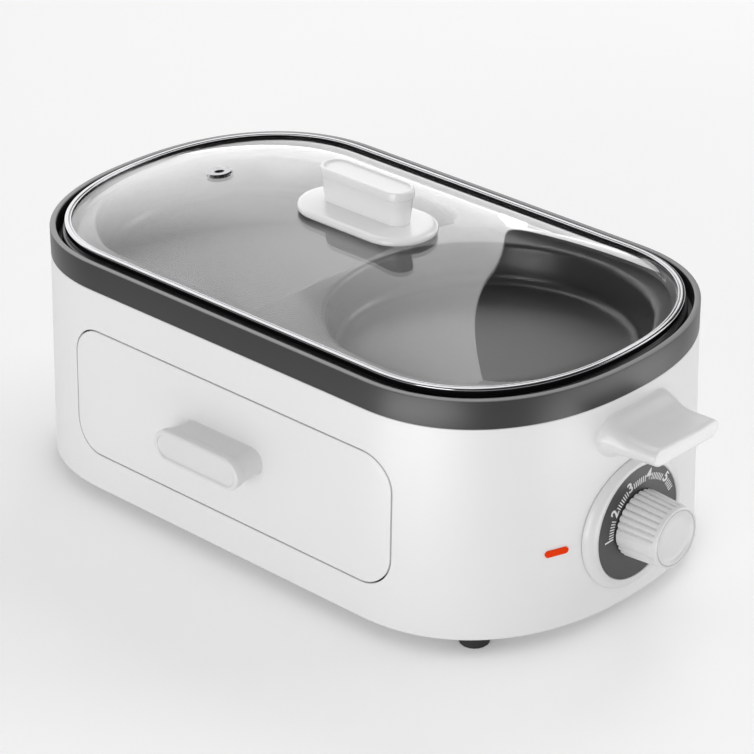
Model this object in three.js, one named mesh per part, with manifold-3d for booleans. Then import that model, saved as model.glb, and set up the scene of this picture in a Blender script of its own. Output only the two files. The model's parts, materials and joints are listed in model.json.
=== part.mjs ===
// Countertop breakfast maker: a lidded double pan over a small drawer oven.
// Millimetres, +Z up. The control end faces +X and the drawer faces -Y.
import * as THREE from 'three';
import { mergeVertices } from 'three/addons/utils/BufferGeometryUtils.js';
import Module from 'manifold-3d';

// Body: size at the top edge, plan shape and heights
const bodyLength = 370;
const bodyWidth = 218;
const endRoundLength = 87.5;
const endShapeShare = 2.25;
const footHeight = 8;
const shellHeight = 119.2;
const shellFlare = 2.4;
const shellWall = 2.4;
const fitGap = 0.3;
const cutOverrun = 6;
const sheetThickness = 1.2;

// Rim band, with the inner ledge that the pan stands on
const bandHeight = 15.6;
const bandRimWidth = 3.4;
const bandEdgeRound = 0.7;
const ledgeDepth = 10.5;
const ledgeWidth = 5.2;
const ledgeThickness = 2.4;
const skirtDepth = 8;
const skirtThickness = 1.8;

// Base plate, its air slots, screws and feet
const plateRecess = 0.8;
const plateThickness = 1.6;
const slotLength = 34;
const slotWidth = 4;
const slotPitch = 12;
const slotRowOffset = 48;
const bossRadius = 4;
const bossHeight = 14;
const bossSink = 3.6;
const bossGlandGap = 7.6;
const smallScrewRadius = 1.3;
const smallHeadRadius = 2.9;
const smallHeadHeight = 1.6;
const smallScrewLength = 11;
const footEndMargin = 36.5;
const footSideMargin = 30;
const footRadius = 8;
const footTaper = 0.6;
const footStemRadius = 3;
const footBarbRadius = 4.3;
const footBarbHeight = 1.8;

// Double pan
const panLipGap = 2.8;
const panLipHeight = 7;
const panLipThickness = 2.2;
const panLipWidth = 5;
const panRimSlope = 3.4;
const panDeckDrop = 3.6;
const panDeckThickness = 2.6;
const wellSideMargin = 22;
const wellEndMargin = 11.5;
const wellMiddleLap = 0.5;
const wellLand = 1.7;
const wellCornerRadius = 16;
const wellDepth = 21.4;
const wellMouthRound = 3.2;
const wellDraft = 3.2;
const wellFloorRound = 5.8;
const wellWall = 2.8;

// Lid: steel rim, domed glass and steam vent
const lidRimGap = 4.4;
const lidRimWidth = 3.9;
const lidRimHeight = 5.4;
const lidRimWall = 0.7;
const lidRimRoll = 1.2;
const glassThickness = 3.4;
const glassBead = 4.9;
const domeRise = 18.7;
const domeShapeShare = 2.44;
const domeShares = [0.2, 0.42, 0.6, 0.77, 0.9, 1];
const domeUnderShares = [1, 0.77, 0.6, 0.2];
const ventEndMargin = 58.8;
const ventHoleRadius = 4.4;
const ventTubeRadius = 4;
const ventBoreRadius = 2.8;
const ventFlangeRadius = 7.4;
const ventFlangeThickness = 0.7;
const ventSeatGap = 0.4;

// Oval grips of the lid and the drawer, and the plate under the lid's grip
const gripWidth = 61.6;
const gripThickness = 18.4;
const gripRootWidth = 56.8;
const gripRootThickness = 13.8;
const gripBand = 5;
const gripBandStep = 0.4;
const gripEdgeRound = 0.9;
const gripRimWidth = 1.6;
const gripDishDepth = 1.2;
const lidGripHeight = 19.6;
const drawerGripDepth = 20;
const handlePlateLength = 86.8;
const handlePlateWidth = 43.4;
const handlePlateEdge = 1.7;
const handlePlateRound = 2.6;
const handlePlateFoot = 0.9;
const handlePlateRoundShares = [0, 0.36, 0.7, 1];
const handlePlateCrown = 0.5;
const handlePlateLift = 0.4;
const gripScrewMargin = 11.4;
const gripScrewRadius = 2;
const gripScrewReach = 9;
const gripHeadRadius = 3.6;
const gripHeadHeight = 2.2;
const padLength = 48;
const padWidth = 12;
const padThickness = 1.4;

// Drawer front and the parts that slide with it
const drawerEndMargin = 70;
const drawerTopMargin = 23.85;
const drawerBottomMargin = 22;
const drawerCornerRadius = 18;
const drawerCentreX = 2.3;
const drawerGap = 0.9;
const drawerSkin = 2.4;
const innerPlateInset = 5;
const innerPlateDepth = 7;
const drawerGripRise = 2.8;
const drawerGripAside = 2;
const drawerBossEndMargin = 30.5;
const drawerBossTopMargin = 15;
const frameInset = 9.9;
const frameBackGap = 12.502;
const frameBar = 3;
const frameBarHeight = 8;
const frameDrop = 9.5;
const frameCornerRadius = 6;
const trayHeaterGap = 6.5;
const trayWall = 1.4;
const trayDraft = 4;
const trayLip = 1.4;
const trayCornerRadius = 10;
const trayMargin = 0.4;
const rackWireRadius = 1.3;
const rackMargin = 8;
const rackHeight = 8;
const rackWireCount = 9;

// Oven box, its runners, heaters and stands
const linerBottom = 20.3;
const linerFlange = 6;
const linerFrontGap = 0.8186;
const linerBackRoom = 29;
const runnerLowerLip = 5.5;
const runnerUpperLip = 2.5;
const runnerPlay = 0.4;
const runnerThickness = 1;
const ovenHeaterRadius = 4;
const ovenHeaterMargin = 45;
const lowerHeaterGap = 4.7;
const upperHeaterGap = 6;
const heaterEndReach = 9;
const heaterLinkHeight = 5;
const standWidth = 16;
const standInset = 38;
const standEndInset = 15;

// Shield over the oven box, and the pan heaters that it carries
const shieldInset = 12;
const postRadius = 4.5;
const postLinerGap = 15.5;
const postSideMargin = 31;
const panHeaterInset = 25;
const panHeaterThickness = 6;
const elementRingInset = 12;
const elementTubeRadius = 3.4;
const heaterPostRadius = 4;
const heaterPostInset = 18;
const heaterPostHeight = 7.7;
const heaterPostCount = 3;

// Control: dial, knob, shaft, switch and bracket on one axis across the end
const bezelBottomMargin = 6.4;
const bezelHandleGap = 5.6;
const bezelFront = 2.6;
const bezelRoundDepth = 5.9;
const bezelWall = 2.5;
const bezelRingWidth = 6.5;
const bezelLipWidth = 0.9;
const bezelLipDrop = 0.4;
const bezelFloorOffset = 1.1;
const bezelFloorThickness = 1.2;
const bezelRoundSteps = 5;
const collarRadius = 32.7;
const collarWall = 2;
const collarDepth = 4;
const dialPlateThickness = 0.6;
const knobRadius = 18.2;
const knobFrontRadius = 16.8;
const knobLength = 24.5;
const knobClearance = 0.5;
const knobRibCount = 30;
const knobRibDepth = 0.55;
const knobFrontRim = 1.7;
const knobDishDepth = 1;
const knobFrontRound = 0.8;
const knobPointerAngleShare = 1.04;
const shaftRadius = 3;
const shaftGrip = 17;
const switchLength = 26;
const switchWidth = 28;
const switchStandoff = 9.6;
const bracketWidth = 44;
const bracketMargin = 4.4;
const bracketFoot = 26;
const shaftHoleRadius = 4.4;

// Indicator lamp on the rounded end
const lampDialGap = 14.4;
const lampRise = 0.6;
const lensLength = 13.4;
const lensHeight = 3.6;
const lensProud = 0.7;
const lensDepth = 5;
const lampBodyLength = 16;
const lampBodyHeight = 7;
const lampBodyDepth = 9;

// Side handles
const sideHandleReach = 31.8;
const sideHandleDrop = 19.3;
const sideHandleWidth = 51.2;
const sideHandleThickness = 11.6;
const sideHandleRootFlare = 3.3;
const sideHandleTopFlare = 6.6;
const sideHandleUnderFlare = 4.2;
const sideHandleUnderTaper = 1.9;
const sideHandleDip = 1.7;
const sideHandleEdge = 0.7;
const sideHandleSink = 8;
const sideScrewMargin = 8.6;

// Electrics at the back
const glandEndMargin = 105;
const glandHeight = 27;
const glandBoreRadius = 3.6;
const glandNeckRadius = 5.6;
const glandFlangeRadius = 8.4;
const glandFlangeThickness = 1.6;
const glandNutThickness = 3;
const terminalLength = 32;
const terminalWidth = 13;
const terminalHeight = 13;
const terminalGlandGap = 12;
const terminalSideMargin = 18;
const fuseRadius = 2.6;
const fuseLength = 26;
const fuseDrop = 26;
const wireRadius = 1.5;
const wireDrop = 10;
const spliceRadius = 2.4;
const wireCornerMargin = 51;
const wireSlack = 8;

// Roundness of the faceted solids
const quarterSteps = 9;
const cornerSteps = 5;
const roundSteps = 32;
const mediumRoundSteps = 18;
const smallRoundSteps = 10;
const wireSides = 6;
const wireSteps = 9;

const quarterTurn = Math.PI / 2;
const shellTop = footHeight + shellHeight;
const rimTop = shellTop + bandHeight;
const halfLength = bodyLength / 2;
const halfWidth = bodyWidth / 2;
const plateBottom = footHeight + plateRecess;
const plateTop = plateBottom + plateThickness;
const ledgeTop = rimTop - ledgeDepth;
const panLipInset = bandRimWidth + panLipGap;
const lipBottom = ledgeTop + fitGap;
const lipTop = lipBottom + panLipHeight;
const deckTop = lipTop - panDeckDrop;
const panFloor = deckTop - wellDepth;
const panUnderside = panFloor - wellWall;
const lidRimInset = bandRimWidth + lidRimGap;
const lidRimBottom = lipTop + fitGap;
const glassEdgeBottom = lidRimBottom + lidRimWall + fitGap;
const glassEdgeTop = glassEdgeBottom + glassThickness;
const glassInset = lidRimInset + lidRimRoll + fitGap;
const domeInset = glassInset + glassBead;
const domeTop = glassEdgeTop + domeRise;
const domeLength = halfLength - domeInset;
const ventDistance = domeLength - ventEndMargin;

// Places and sizes that follow from the body's size and the named margins
const glandX = halfLength - glandEndMargin;
const bossSpacing = 2 * (glandX - glandFlangeRadius - bossRadius - bossGlandGap);
const footSpacingX = 2 * (halfLength - footEndMargin);
const footSpacingY = 2 * (halfWidth - footSideMargin);
const wellReachY = halfWidth - wellSideMargin;
const wellReachX = (halfLength - wellEndMargin + wellMiddleLap) / 2;
const wellSpacing = 2 * (halfLength - wellEndMargin - wellReachX);
const drawerWidth = bodyLength - 2 * drawerEndMargin;
const drawerHeight = shellHeight - drawerTopMargin - drawerBottomMargin;
const drawerCentreHeight = footHeight + drawerBottomMargin + drawerHeight / 2;
const drawerGripHeight = drawerCentreHeight + drawerGripRise;
const drawerGripX = drawerCentreX - drawerGripAside;
const gripScrewSpacing = gripRootWidth - 2 * gripScrewMargin;
const drawerBossSpacing = drawerWidth - 2 * drawerBossEndMargin;
const drawerBossRise = drawerHeight / 2 - drawerBossTopMargin;
const panelFaceY = frontFaceY(drawerCentreHeight);
const innerPlateFront = panelFaceY - innerPlateDepth;
const innerPlateBack = innerPlateFront - sheetThickness;

// Heater stack under the pan, with the shield and the oven box below it
const heaterTop = panUnderside - fitGap;
const heaterBottom = heaterTop - panHeaterThickness;
const shieldTop = heaterBottom - heaterPostHeight - fitGap;
const shieldBottom = shieldTop - sheetThickness;
const linerTop = shieldBottom - fitGap;
const linerHeight = linerTop - linerBottom;
const linerFront = innerPlateBack - linerFrontGap - sheetThickness;
const linerBack = halfWidth - linerBackRoom;
const linerDepth = linerFront + linerBack;
const lowerHeaterHeight = linerBottom + lowerHeaterGap + ovenHeaterRadius;
const upperHeaterHeight = linerTop - upperHeaterGap - ovenHeaterRadius;
const ovenHeaterSpacing = linerDepth - 2 * ovenHeaterMargin;
const panHeaterRadius = Math.min(wellReachX, wellReachY) - panHeaterInset;
const elementRingRadius = panHeaterRadius - elementRingInset;
const heaterPostCircle = elementRingRadius - heaterPostInset;

// Sliding frame and tray, and the box and runners round them
const frameWidth = drawerWidth - 2 * frameInset;
const frameFront = innerPlateBack - fitGap;
const frameLength = frameFront + linerBack - sheetThickness - frameBackGap;
const frameBottom = drawerCentreHeight - frameDrop;
const linerWidth = frameWidth + 2 * (runnerPlay + runnerThickness + fitGap + sheetThickness);
const standSpacing = linerWidth - 2 * standInset;
const standLength = linerDepth - 2 * standEndInset;
const postSpacingX = linerWidth + 2 * (postLinerGap + postRadius);
const postSpacingY = 2 * (halfWidth - postSideMargin);

// Handle, dial and lamp at the control end
const sideHandleHeight = shellTop - sideHandleDrop;
const sideScrewSpacing = sideHandleWidth - 2 * sideScrewMargin;
const sideHandleRootUnder = sideHandleHeight - sideHandleThickness / 2 - sideHandleUnderTaper - sideHandleUnderFlare;
const bezelBottom = footHeight + bezelBottomMargin;
const bezelRadius = (sideHandleRootUnder - bezelHandleGap - bezelBottom) / 2;
const bezelInnerRadius = bezelRadius - bezelRingWidth;
const controlHeight = bezelBottom + bezelRadius;
const bracketTop = controlHeight + switchWidth / 2 + bracketMargin;
const lampAside = bezelRadius + lampDialGap;
const lampHeight = controlHeight + lampRise;

// Electrics at the back
const terminalX = glandX - terminalGlandGap - terminalLength / 2;
const terminalY = halfWidth - terminalSideMargin;
const wireHeight = controlHeight - switchWidth / 2 - wireDrop;
const wireCornerY = halfWidth - wireCornerMargin;
const fuseHeight = linerTop - fuseDrop;

const wasm = await Module();
wasm.setup();

const colours = {
  white: { color: 0xe9e9ea, roughness: 0.35, metalness: 0 },
  lightGrey: { color: 0xcfcfd1, roughness: 0.4, metalness: 0 },
  graphite: { color: 0x4a4a4c, roughness: 0.45, metalness: 0.3 },
  nonStick: { color: 0x3c3c3e, roughness: 0.5, metalness: 0.2 },
  dial: { color: 0x404042, roughness: 0.5, metalness: 0 },
  glass: { color: 0xdfe6e8, roughness: 0.05, metalness: 0 },
  steel: { color: 0xc8c8ca, roughness: 0.2, metalness: 1 },
  sheet: { color: 0xa9abad, roughness: 0.4, metalness: 1 },
  castMetal: { color: 0x8d8f92, roughness: 0.55, metalness: 1 },
  rubber: { color: 0x2b2b2c, roughness: 0.9, metalness: 0 },
  amber: { color: 0xe23c0c, roughness: 0.3, metalness: 0 },
  ceramic: { color: 0xe8e2d4, roughness: 0.7, metalness: 0 },
  black: { color: 0x1c1c1e, roughness: 0.6, metalness: 0 },
};

// A solid from a list of corners and triangles, with its faces turned outwards.
function solidFrom(corners, triangles) {
  const faces = triangles.filter(([a, b, c]) => a !== b && b !== c && c !== a);
  let volume = 0;
  for (const [a, b, c] of faces) {
    const [p, q, r] = [a, b, c].map((i) => new THREE.Vector3().fromArray(corners, i * 3));
    volume += p.dot(q.cross(r));
  }
  const triVerts = new Uint32Array(faces.map((f) => (volume < 0 ? [f[0], f[2], f[1]] : f)).flat());
  const mesh = new wasm.Mesh({ numProp: 3, vertProperties: new Float32Array(corners), triVerts });
  return new wasm.Manifold(mesh);
}

// A solid from a closed three.js geometry.
function solid(geometry) {
  geometry.deleteAttribute('normal');
  geometry.deleteAttribute('uv');
  const merged = mergeVertices(geometry);
  const index = merged.index.array;
  const triangles = [];
  for (let i = 0; i < index.length; i += 3) triangles.push([index[i], index[i + 1], index[i + 2]]);
  return solidFrom([...merged.attributes.position.array], triangles);
}

// A solid skinned over rings of equal count, with flat ends, or closed on itself.
function skin(rings, closed = false) {
  const count = rings[0].length;
  const corners = rings.flat().flatMap((p) => [p.x, p.y, p.z]);
  const triangles = [];
  const spans = closed ? rings.length : rings.length - 1;
  for (let j = 0; j < spans; j += 1) {
    const low = j * count;
    const high = ((j + 1) % rings.length) * count;
    for (let i = 0; i < count; i += 1) {
      const next = (i + 1) % count;
      triangles.push([low + i, low + next, high + next], [low + i, high + next, high + i]);
    }
  }
  const addEnd = (ring, start, turned) => {
    const centre = new THREE.Vector3();
    ring.forEach((p) => centre.add(p));
    centre.divideScalar(count);
    const hub = corners.length / 3;
    corners.push(centre.x, centre.y, centre.z);
    for (let i = 0; i < count; i += 1) {
      const next = (i + 1) % count;
      triangles.push(turned ? [hub, start + next, start + i] : [hub, start + i, start + next]);
    }
  };
  if (!closed) {
    addEnd(rings[0], 0, true);
    addEnd(rings[rings.length - 1], (rings.length - 1) * count, false);
  }
  return solid(facesGeometry(corners, triangles));
}

// Corners and triangles as a geometry.
function facesGeometry(corners, triangles) {
  const geometry = new THREE.BufferGeometry();
  geometry.setAttribute('position', new THREE.Float32BufferAttribute(corners, 3));
  geometry.setIndex(triangles.flat());
  return geometry;
}

// Directions that a turned or extruded shape can face.
const facing = {
  up: (g) => g,
  right: (g) => g.rotateY(quarterTurn),
  left: (g) => g.rotateY(-quarterTurn),
  front: (g) => g.rotateX(quarterTurn),
  back: (g) => g.rotateX(-quarterTurn),
};

// A turned solid: its profile is [radius, height] pairs from axis to axis, or a closed loop.
function turned(profile, direction = 'up', steps = roundSteps) {
  const points = profile.map(([radius, height]) => new THREE.Vector2(radius, height));
  const geometry = new THREE.LatheGeometry(points, steps).rotateX(quarterTurn);
  return solid(facing[direction](geometry));
}

// A plain round bar or bore along a direction, from one level to another.
function bar(radius, from, to, direction = 'up', steps = smallRoundSteps) {
  return turned([[0, from], [radius, from], [radius, to], [0, to]], direction, steps);
}

// A flat tube: the space between two radii and two levels.
function sleeve(inner, outer, from, to, direction = 'up', steps = smallRoundSteps) {
  const loop = [[inner, from], [outer, from], [outer, to], [inner, to], [inner, from]];
  return turned(loop, direction, steps);
}

function block(width, depth, height, x, y, z) {
  return solid(new THREE.BoxGeometry(width, depth, height).translate(x, y, z));
}

// Closed outline of quarter arcs, each [centre x, centre y, reach across, first quarter, reach along].
function arcOutline(arcs, inset, steps = cornerSteps) {
  const points = [];
  for (const [x, y, across, quarter, along = across] of arcs) {
    for (let k = 0; k <= steps; k += 1) {
      const angle = (quarter + k / steps) * quarterTurn;
      points.push(new THREE.Vector2(
        x + (across - inset) * Math.cos(angle), y + (along - inset) * Math.sin(angle),
      ));
    }
  }
  return points;
}

// Rectangle with rounded corners about the origin.
function roundedOutline(width, height, radius, inset = 0, steps = cornerSteps) {
  const x = width / 2 - radius;
  const y = height / 2 - radius;
  const arcs = [[x, -y, radius, 3], [x, y, radius, 0], [-x, y, radius, 1], [-x, -y, radius, 2]];
  return arcOutline(arcs, inset, steps);
}

// Plan of the body: straight long sides and superelliptic ends, drawn in by an inset.
function bodyOutline(inset) {
  const points = [];
  const power = 2 / endShapeShare;
  for (const side of [1, -1]) {
    for (let k = -quarterSteps; k <= quarterSteps; k += 1) {
      const angle = (k / quarterSteps) * quarterTurn;
      const x = halfLength - endRoundLength + (endRoundLength - inset) * Math.cos(angle) ** power;
      const y = (halfWidth - inset) * Math.sign(angle) * Math.abs(Math.sin(angle)) ** power;
      points.push(new THREE.Vector2(side * x, side * y));
    }
  }
  return points;
}

// A level ring of an outline, spread from the middle by a share.
function level(outline, z, share = 1) {
  return outline.map((p) => new THREE.Vector3(p.x * share, p.y * share, z));
}

function bodyRing(inset, z, share = 1) {
  return level(bodyOutline(inset), z, share);
}

// How far the shell stands out beyond its top edge at a height.
function flareAt(z) {
  return (shellFlare * (shellTop - z)) / shellHeight;
}

// Distance from the middle to the rounded end's outer face, at a place across and a height.
function endFaceX(y, z, inset = 0) {
  const grow = flareAt(z) - inset;
  const across = Math.abs(y) / (halfWidth + grow);
  const reach = (endRoundLength + grow) * (1 - across ** endShapeShare) ** (1 / endShapeShare);
  return halfLength - endRoundLength + reach;
}

function frontFaceY(z, inset = 0) {
  return halfWidth + flareAt(z) - inset;
}

// The body's outer form from its bottom edge to the rim, grown or shrunk by an inset.
function bodyForm(inset, from = footHeight, to = rimTop) {
  const rings = [from, shellTop, to].map((z) => bodyRing(inset - Math.max(flareAt(z), 0), z));
  return skin(rings);
}

// An outline in width and height, carried through the body from one depth to another.
function frontPrism(outline, centreX, centreZ, from, to) {
  const ring = (y) => outline.map((p) => new THREE.Vector3(centreX + p.x, y, centreZ + p.y));
  return skin([ring(from), ring(to)]);
}

function uprightPrism(outline, x, y, from, to) {
  const ring = (z) => outline.map((p) => new THREE.Vector3(x + p.x, y + p.y, z));
  return skin([ring(from), ring(to)]);
}

function join(solids) {
  return solids.reduce((whole, next) => whole.add(next));
}

function cut(body, tools) {
  return tools.reduce((whole, tool) => whole.subtract(tool), body);
}

// Puts one named sub-part into a group.
function addPart(group, name, shape, look, position = [0, 0, 0]) {
  const { vertProperties, triVerts } = shape.getMesh();
  const geometry = new THREE.BufferGeometry();
  geometry.setAttribute('position', new THREE.BufferAttribute(new Float32Array(vertProperties), 3));
  geometry.setIndex(new THREE.BufferAttribute(new Uint32Array(triVerts), 1));
  geometry.computeVertexNormals();
  const material = new THREE.MeshStandardMaterial({ ...look, flatShading: true });
  const mesh = new THREE.Mesh(geometry, material);
  mesh.name = name;
  mesh.position.set(...position);
  group.add(mesh);
  return mesh;
}

// Repeats one sub-part at several places, each copy with its own name.
function addCopies(group, name, ends, shape, look, places) {
  places.forEach((place, i) => addPart(group, `${name}_${ends[i]}`, shape, look, place));
}

const corners = [[1, -1], [1, 1], [-1, 1], [-1, -1]];
const cornerNames = ['front_right', 'back_right', 'back_left', 'front_left'];
const sideNames = ['left', 'right'];
const screwHoleRadius = smallScrewRadius + fitGap;
const gripHoleRadius = gripScrewRadius + fitGap;

// Drawer opening and front
const openingOutline = roundedOutline(drawerWidth, drawerHeight, drawerCornerRadius, -drawerGap);

// Lamp place on the rounded end, and the direction that it faces
const lampX = endFaceX(lampAside, lampHeight);
const lampStep = endFaceX(lampAside - lensHeight, lampHeight) - endFaceX(lampAside + lensHeight, lampHeight);
const lampTurn = -Math.atan2(lampStep, 2 * lensHeight);

// A shape drawn across the lamp's face and pushed in from it, set on the rounded end.
function lampSolid(width, height, from, to, radius) {
  const outline = roundedOutline(width, height, radius);
  const ring = (depth) => outline.map((p) => new THREE.Vector3(depth, p.x, p.y)
    .applyAxisAngle(new THREE.Vector3(0, 0, 1), lampTurn)
    .add(new THREE.Vector3(lampX, -lampAside, lampHeight)));
  return skin([ring(from), ring(to)]);
}

const bossY = frontFaceY(plateTop) - shellWall - bossSink;
const bossPlaces = corners.map(([x, y]) => [(x * bossSpacing) / 2, y * bossY]);

function buildShell(group) {
  const wall = skin([
    bodyRing(-shellFlare, footHeight),
    bodyRing(0, shellTop),
    bodyRing(shellWall, shellTop),
    bodyRing(shellWall - shellFlare, footHeight),
  ], true);
  const bossBottom = plateTop + fitGap;
  const bosses = bossPlaces.map(([x, y]) => bar(bossRadius, bossBottom, bossBottom + bossHeight).translate(x, y, 0));
  const bossHoles = bossPlaces.map(([x, y]) => (
    bar(screwHoleRadius, footHeight, bossBottom + bossHeight - shellWall).translate(x, y, 0)
  ));
  const opening = frontPrism(openingOutline, drawerCentreX, drawerCentreHeight, -halfWidth - cutOverrun, -halfWidth / 2);
  const dialHole = bar(collarRadius + fitGap, halfLength / 2, bodyLength, 'right', roundSteps)
    .translate(0, 0, controlHeight);
  const lampSlot = lampSolid(
    lensLength + 2 * fitGap, lensHeight + 2 * fitGap, -lampBodyDepth, cutOverrun, lensHeight / 2 + fitGap,
  );
  const glandHole = bar(glandNeckRadius + fitGap, halfWidth / 2, bodyWidth, 'back').translate(glandX, 0, glandHeight);
  const sideHoles = [-1, 1].map((side) => (
    bar(gripHoleRadius, -bodyLength, bodyLength, 'right').translate(0, (side * sideScrewSpacing) / 2, sideHandleHeight)
  ));
  const shape = cut(join([wall, ...bosses]), [
    ...bossHoles, opening, dialHole, lampSlot, glandHole, ...sideHoles,
  ]);
  addPart(group, 'outer_shell', shape, colours.white);
}

function buildBand(group) {
  const skirtOuter = shellWall + fitGap;
  const skirtInner = skirtOuter + skirtThickness;
  const ledgeInner = bandRimWidth + ledgeWidth;
  const ledgeBottom = ledgeTop - ledgeThickness;
  const skirtBottom = shellTop - skirtDepth;
  const section = [
    [0, shellTop], [0, rimTop - bandEdgeRound], [bandEdgeRound, rimTop],
    [bandRimWidth - bandEdgeRound, rimTop], [bandRimWidth, rimTop - bandEdgeRound],
    [bandRimWidth, ledgeTop], [ledgeInner, ledgeTop], [ledgeInner, ledgeBottom],
    [skirtInner, ledgeBottom], [skirtInner, skirtBottom], [skirtOuter, skirtBottom], [skirtOuter, shellTop],
  ];
  addPart(group, 'rim_band', skin(section.map(([inset, z]) => bodyRing(inset, z)), true), colours.graphite);
}

const footPlaces = corners.map(([x, y]) => [(x * footSpacingX) / 2, (y * footSpacingY) / 2]);

function buildBase(group) {
  const inset = shellWall + 2 * fitGap - shellFlare;
  const plate = skin([bodyRing(inset, plateBottom), bodyRing(inset, plateTop)]);
  const holes = bossPlaces.map(([x, y]) => bar(screwHoleRadius, 0, rimTop).translate(x, y, 0));
  const stemHoles = footPlaces.map(([x, y]) => bar(footStemRadius + fitGap, 0, rimTop).translate(x, y, 0));
  const slotOutline = roundedOutline(slotLength, slotWidth, slotWidth / 2, 0, 2);
  const slots = [-1, 1].flatMap((row) => [-2, -1, 0, 1, 2].map((i) => (
    uprightPrism(slotOutline, 0, row * slotRowOffset + i * slotPitch, 0, rimTop)
  )));
  addPart(group, 'base_plate', cut(plate, [...holes, ...stemHoles, ...slots]), colours.lightGrey);

  const screw = turned([
    [0, plateBottom - smallHeadHeight], [smallHeadRadius, plateBottom - smallHeadHeight],
    [smallHeadRadius, plateBottom - fitGap], [smallScrewRadius, plateBottom - fitGap],
    [smallScrewRadius, plateBottom + smallScrewLength], [0, plateBottom + smallScrewLength],
  ], 'up', smallRoundSteps);
  addCopies(group, 'base_screw', cornerNames, screw, colours.steel, bossPlaces.map(([x, y]) => [x, y, 0]));

  const barbBottom = plateTop + fitGap;
  const foot = turned([
    [0, 0], [footRadius - footTaper, 0], [footRadius, footTaper], [footRadius, plateBottom],
    [footStemRadius, plateBottom], [footStemRadius, barbBottom], [footBarbRadius, barbBottom],
    [footStemRadius, barbBottom + footBarbHeight], [0, barbBottom + footBarbHeight],
  ], 'up', mediumRoundSteps);
  addCopies(group, 'foot', cornerNames, foot, colours.rubber, footPlaces.map(([x, y]) => [x, y, 0]));
}

function buildChassis(group) {
  const post = bar(postRadius, plateTop + fitGap, shieldTop - sheetThickness / 2);
  const posts = corners.map(([x, y]) => post.translate((x * postSpacingX) / 2, (y * postSpacingY) / 2, 0));
  const shield = skin([bodyRing(shieldInset, shieldBottom), bodyRing(shieldInset, shieldTop)]);
  addPart(group, 'heat_shield', join([shield, ...posts]), colours.sheet);

  const plate = bar(panHeaterRadius, heaterBottom, heaterTop, 'up', roundSteps);
  const element = solid(new THREE.TorusGeometry(elementRingRadius, elementTubeRadius, wireSides, roundSteps))
    .translate(0, 0, heaterBottom);
  const heaterPost = bar(heaterPostRadius, shieldTop + fitGap, heaterBottom + panHeaterThickness / 2);
  const heaterPosts = Array.from({ length: heaterPostCount }, (_, i) => {
    const angle = (4 * quarterTurn * i) / heaterPostCount;
    return heaterPost.translate(heaterPostCircle * Math.cos(angle), heaterPostCircle * Math.sin(angle), 0);
  });
  const places = [[-wellSpacing / 2, 0, 0], [wellSpacing / 2, 0, 0]];
  addCopies(group, 'pan_heater', sideNames, join([plate, element, ...heaterPosts]), colours.castMetal, places);
}

function buildOven(group) {
  const middleY = (linerBack - linerFront) / 2;
  const middleZ = linerBottom + linerHeight / 2;
  const box = block(linerWidth, linerDepth, linerHeight, 0, middleY, middleZ);
  const flange = block(
    linerWidth + 2 * linerFlange, sheetThickness, linerHeight + linerFlange, 0,
    -linerFront - sheetThickness / 2, middleZ - linerFlange / 2,
  );
  const inside = block(
    linerWidth - 2 * sheetThickness, linerDepth + cutOverrun, linerHeight - 2 * sheetThickness, 0,
    middleY - cutOverrun / 2 - sheetThickness, middleZ,
  );
  const heaterRows = [-1, 1].map((row) => (row * ovenHeaterSpacing) / 2 + middleY);
  const heaterLevels = [['lower', lowerHeaterHeight], ['upper', upperHeaterHeight]];
  const tubeEnd = linerWidth / 2 + heaterEndReach;
  const heaterHoles = heaterLevels.flatMap(([, z]) => heaterRows.map((y) => (
    bar(ovenHeaterRadius + fitGap, -tubeEnd, tubeEnd, 'right').translate(0, y, z)
  )));
  addPart(group, 'oven_liner', cut(join([box, flange]), [inside, ...heaterHoles]), colours.sheet);
  const tube = bar(ovenHeaterRadius, -tubeEnd, tubeEnd, 'right');
  for (const [name, z] of heaterLevels) {
    const tubes = heaterRows.map((y) => tube.translate(0, y, z));
    const link = block(
      sheetThickness, ovenHeaterSpacing, heaterLinkHeight, tubeEnd - heaterEndReach / 3, middleY, z,
    );
    addPart(group, `${name}_heaters`, join([...tubes, link]), colours.ceramic);
  }

  const standBottom = plateTop + fitGap;
  const standTop = linerBottom - fitGap;
  const standHeight = standTop - standBottom;
  const standMiddle = (standTop + standBottom) / 2;
  const stand = block(standWidth, standLength, standHeight, 0, middleY, standMiddle).subtract(
    block(standWidth - 2 * sheetThickness, bodyLength, standHeight, 0, middleY, standMiddle - sheetThickness),
  );
  const stands = [-1, 1].map((side) => stand.translate((side * standSpacing) / 2, 0, 0));
  const strap = block(standSpacing, standWidth, sheetThickness, 0, middleY, standTop - sheetThickness / 2);
  addPart(group, 'oven_stand', join([...stands, strap]), colours.sheet);

  const wallX = linerWidth / 2 - sheetThickness;
  const runnerOuter = wallX - fitGap;
  const runnerBottom = frameBottom - runnerPlay - runnerThickness;
  const runnerTop = frameBottom + frameBarHeight + runnerPlay + runnerThickness;
  const runnerLength = linerDepth - 2 * sheetThickness;
  const runnerY = middleY - fitGap;
  const runnerZ = (runnerBottom + runnerTop) / 2;
  const channelHeight = runnerTop - runnerBottom - 2 * runnerThickness;
  const lowerX = runnerOuter - runnerLowerLip / 2;
  const upperCutZ = runnerTop - runnerThickness / 2;
  for (const [name, side] of [['right', 1], ['left', -1]]) {
    const blank = block(runnerLowerLip, runnerLength, runnerTop - runnerBottom, side * lowerX, runnerY, runnerZ);
    const channel = block(
      runnerLowerLip, bodyLength, channelHeight, side * (lowerX - runnerThickness), runnerY, runnerZ,
    );
    const lipCut = block(
      runnerLowerLip, bodyLength, 2 * runnerThickness, side * (lowerX - runnerUpperLip), runnerY, upperCutZ,
    );
    addPart(group, `runner_${name}`, cut(blank, [channel, lipCut]), colours.sheet);
  }
}

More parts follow.
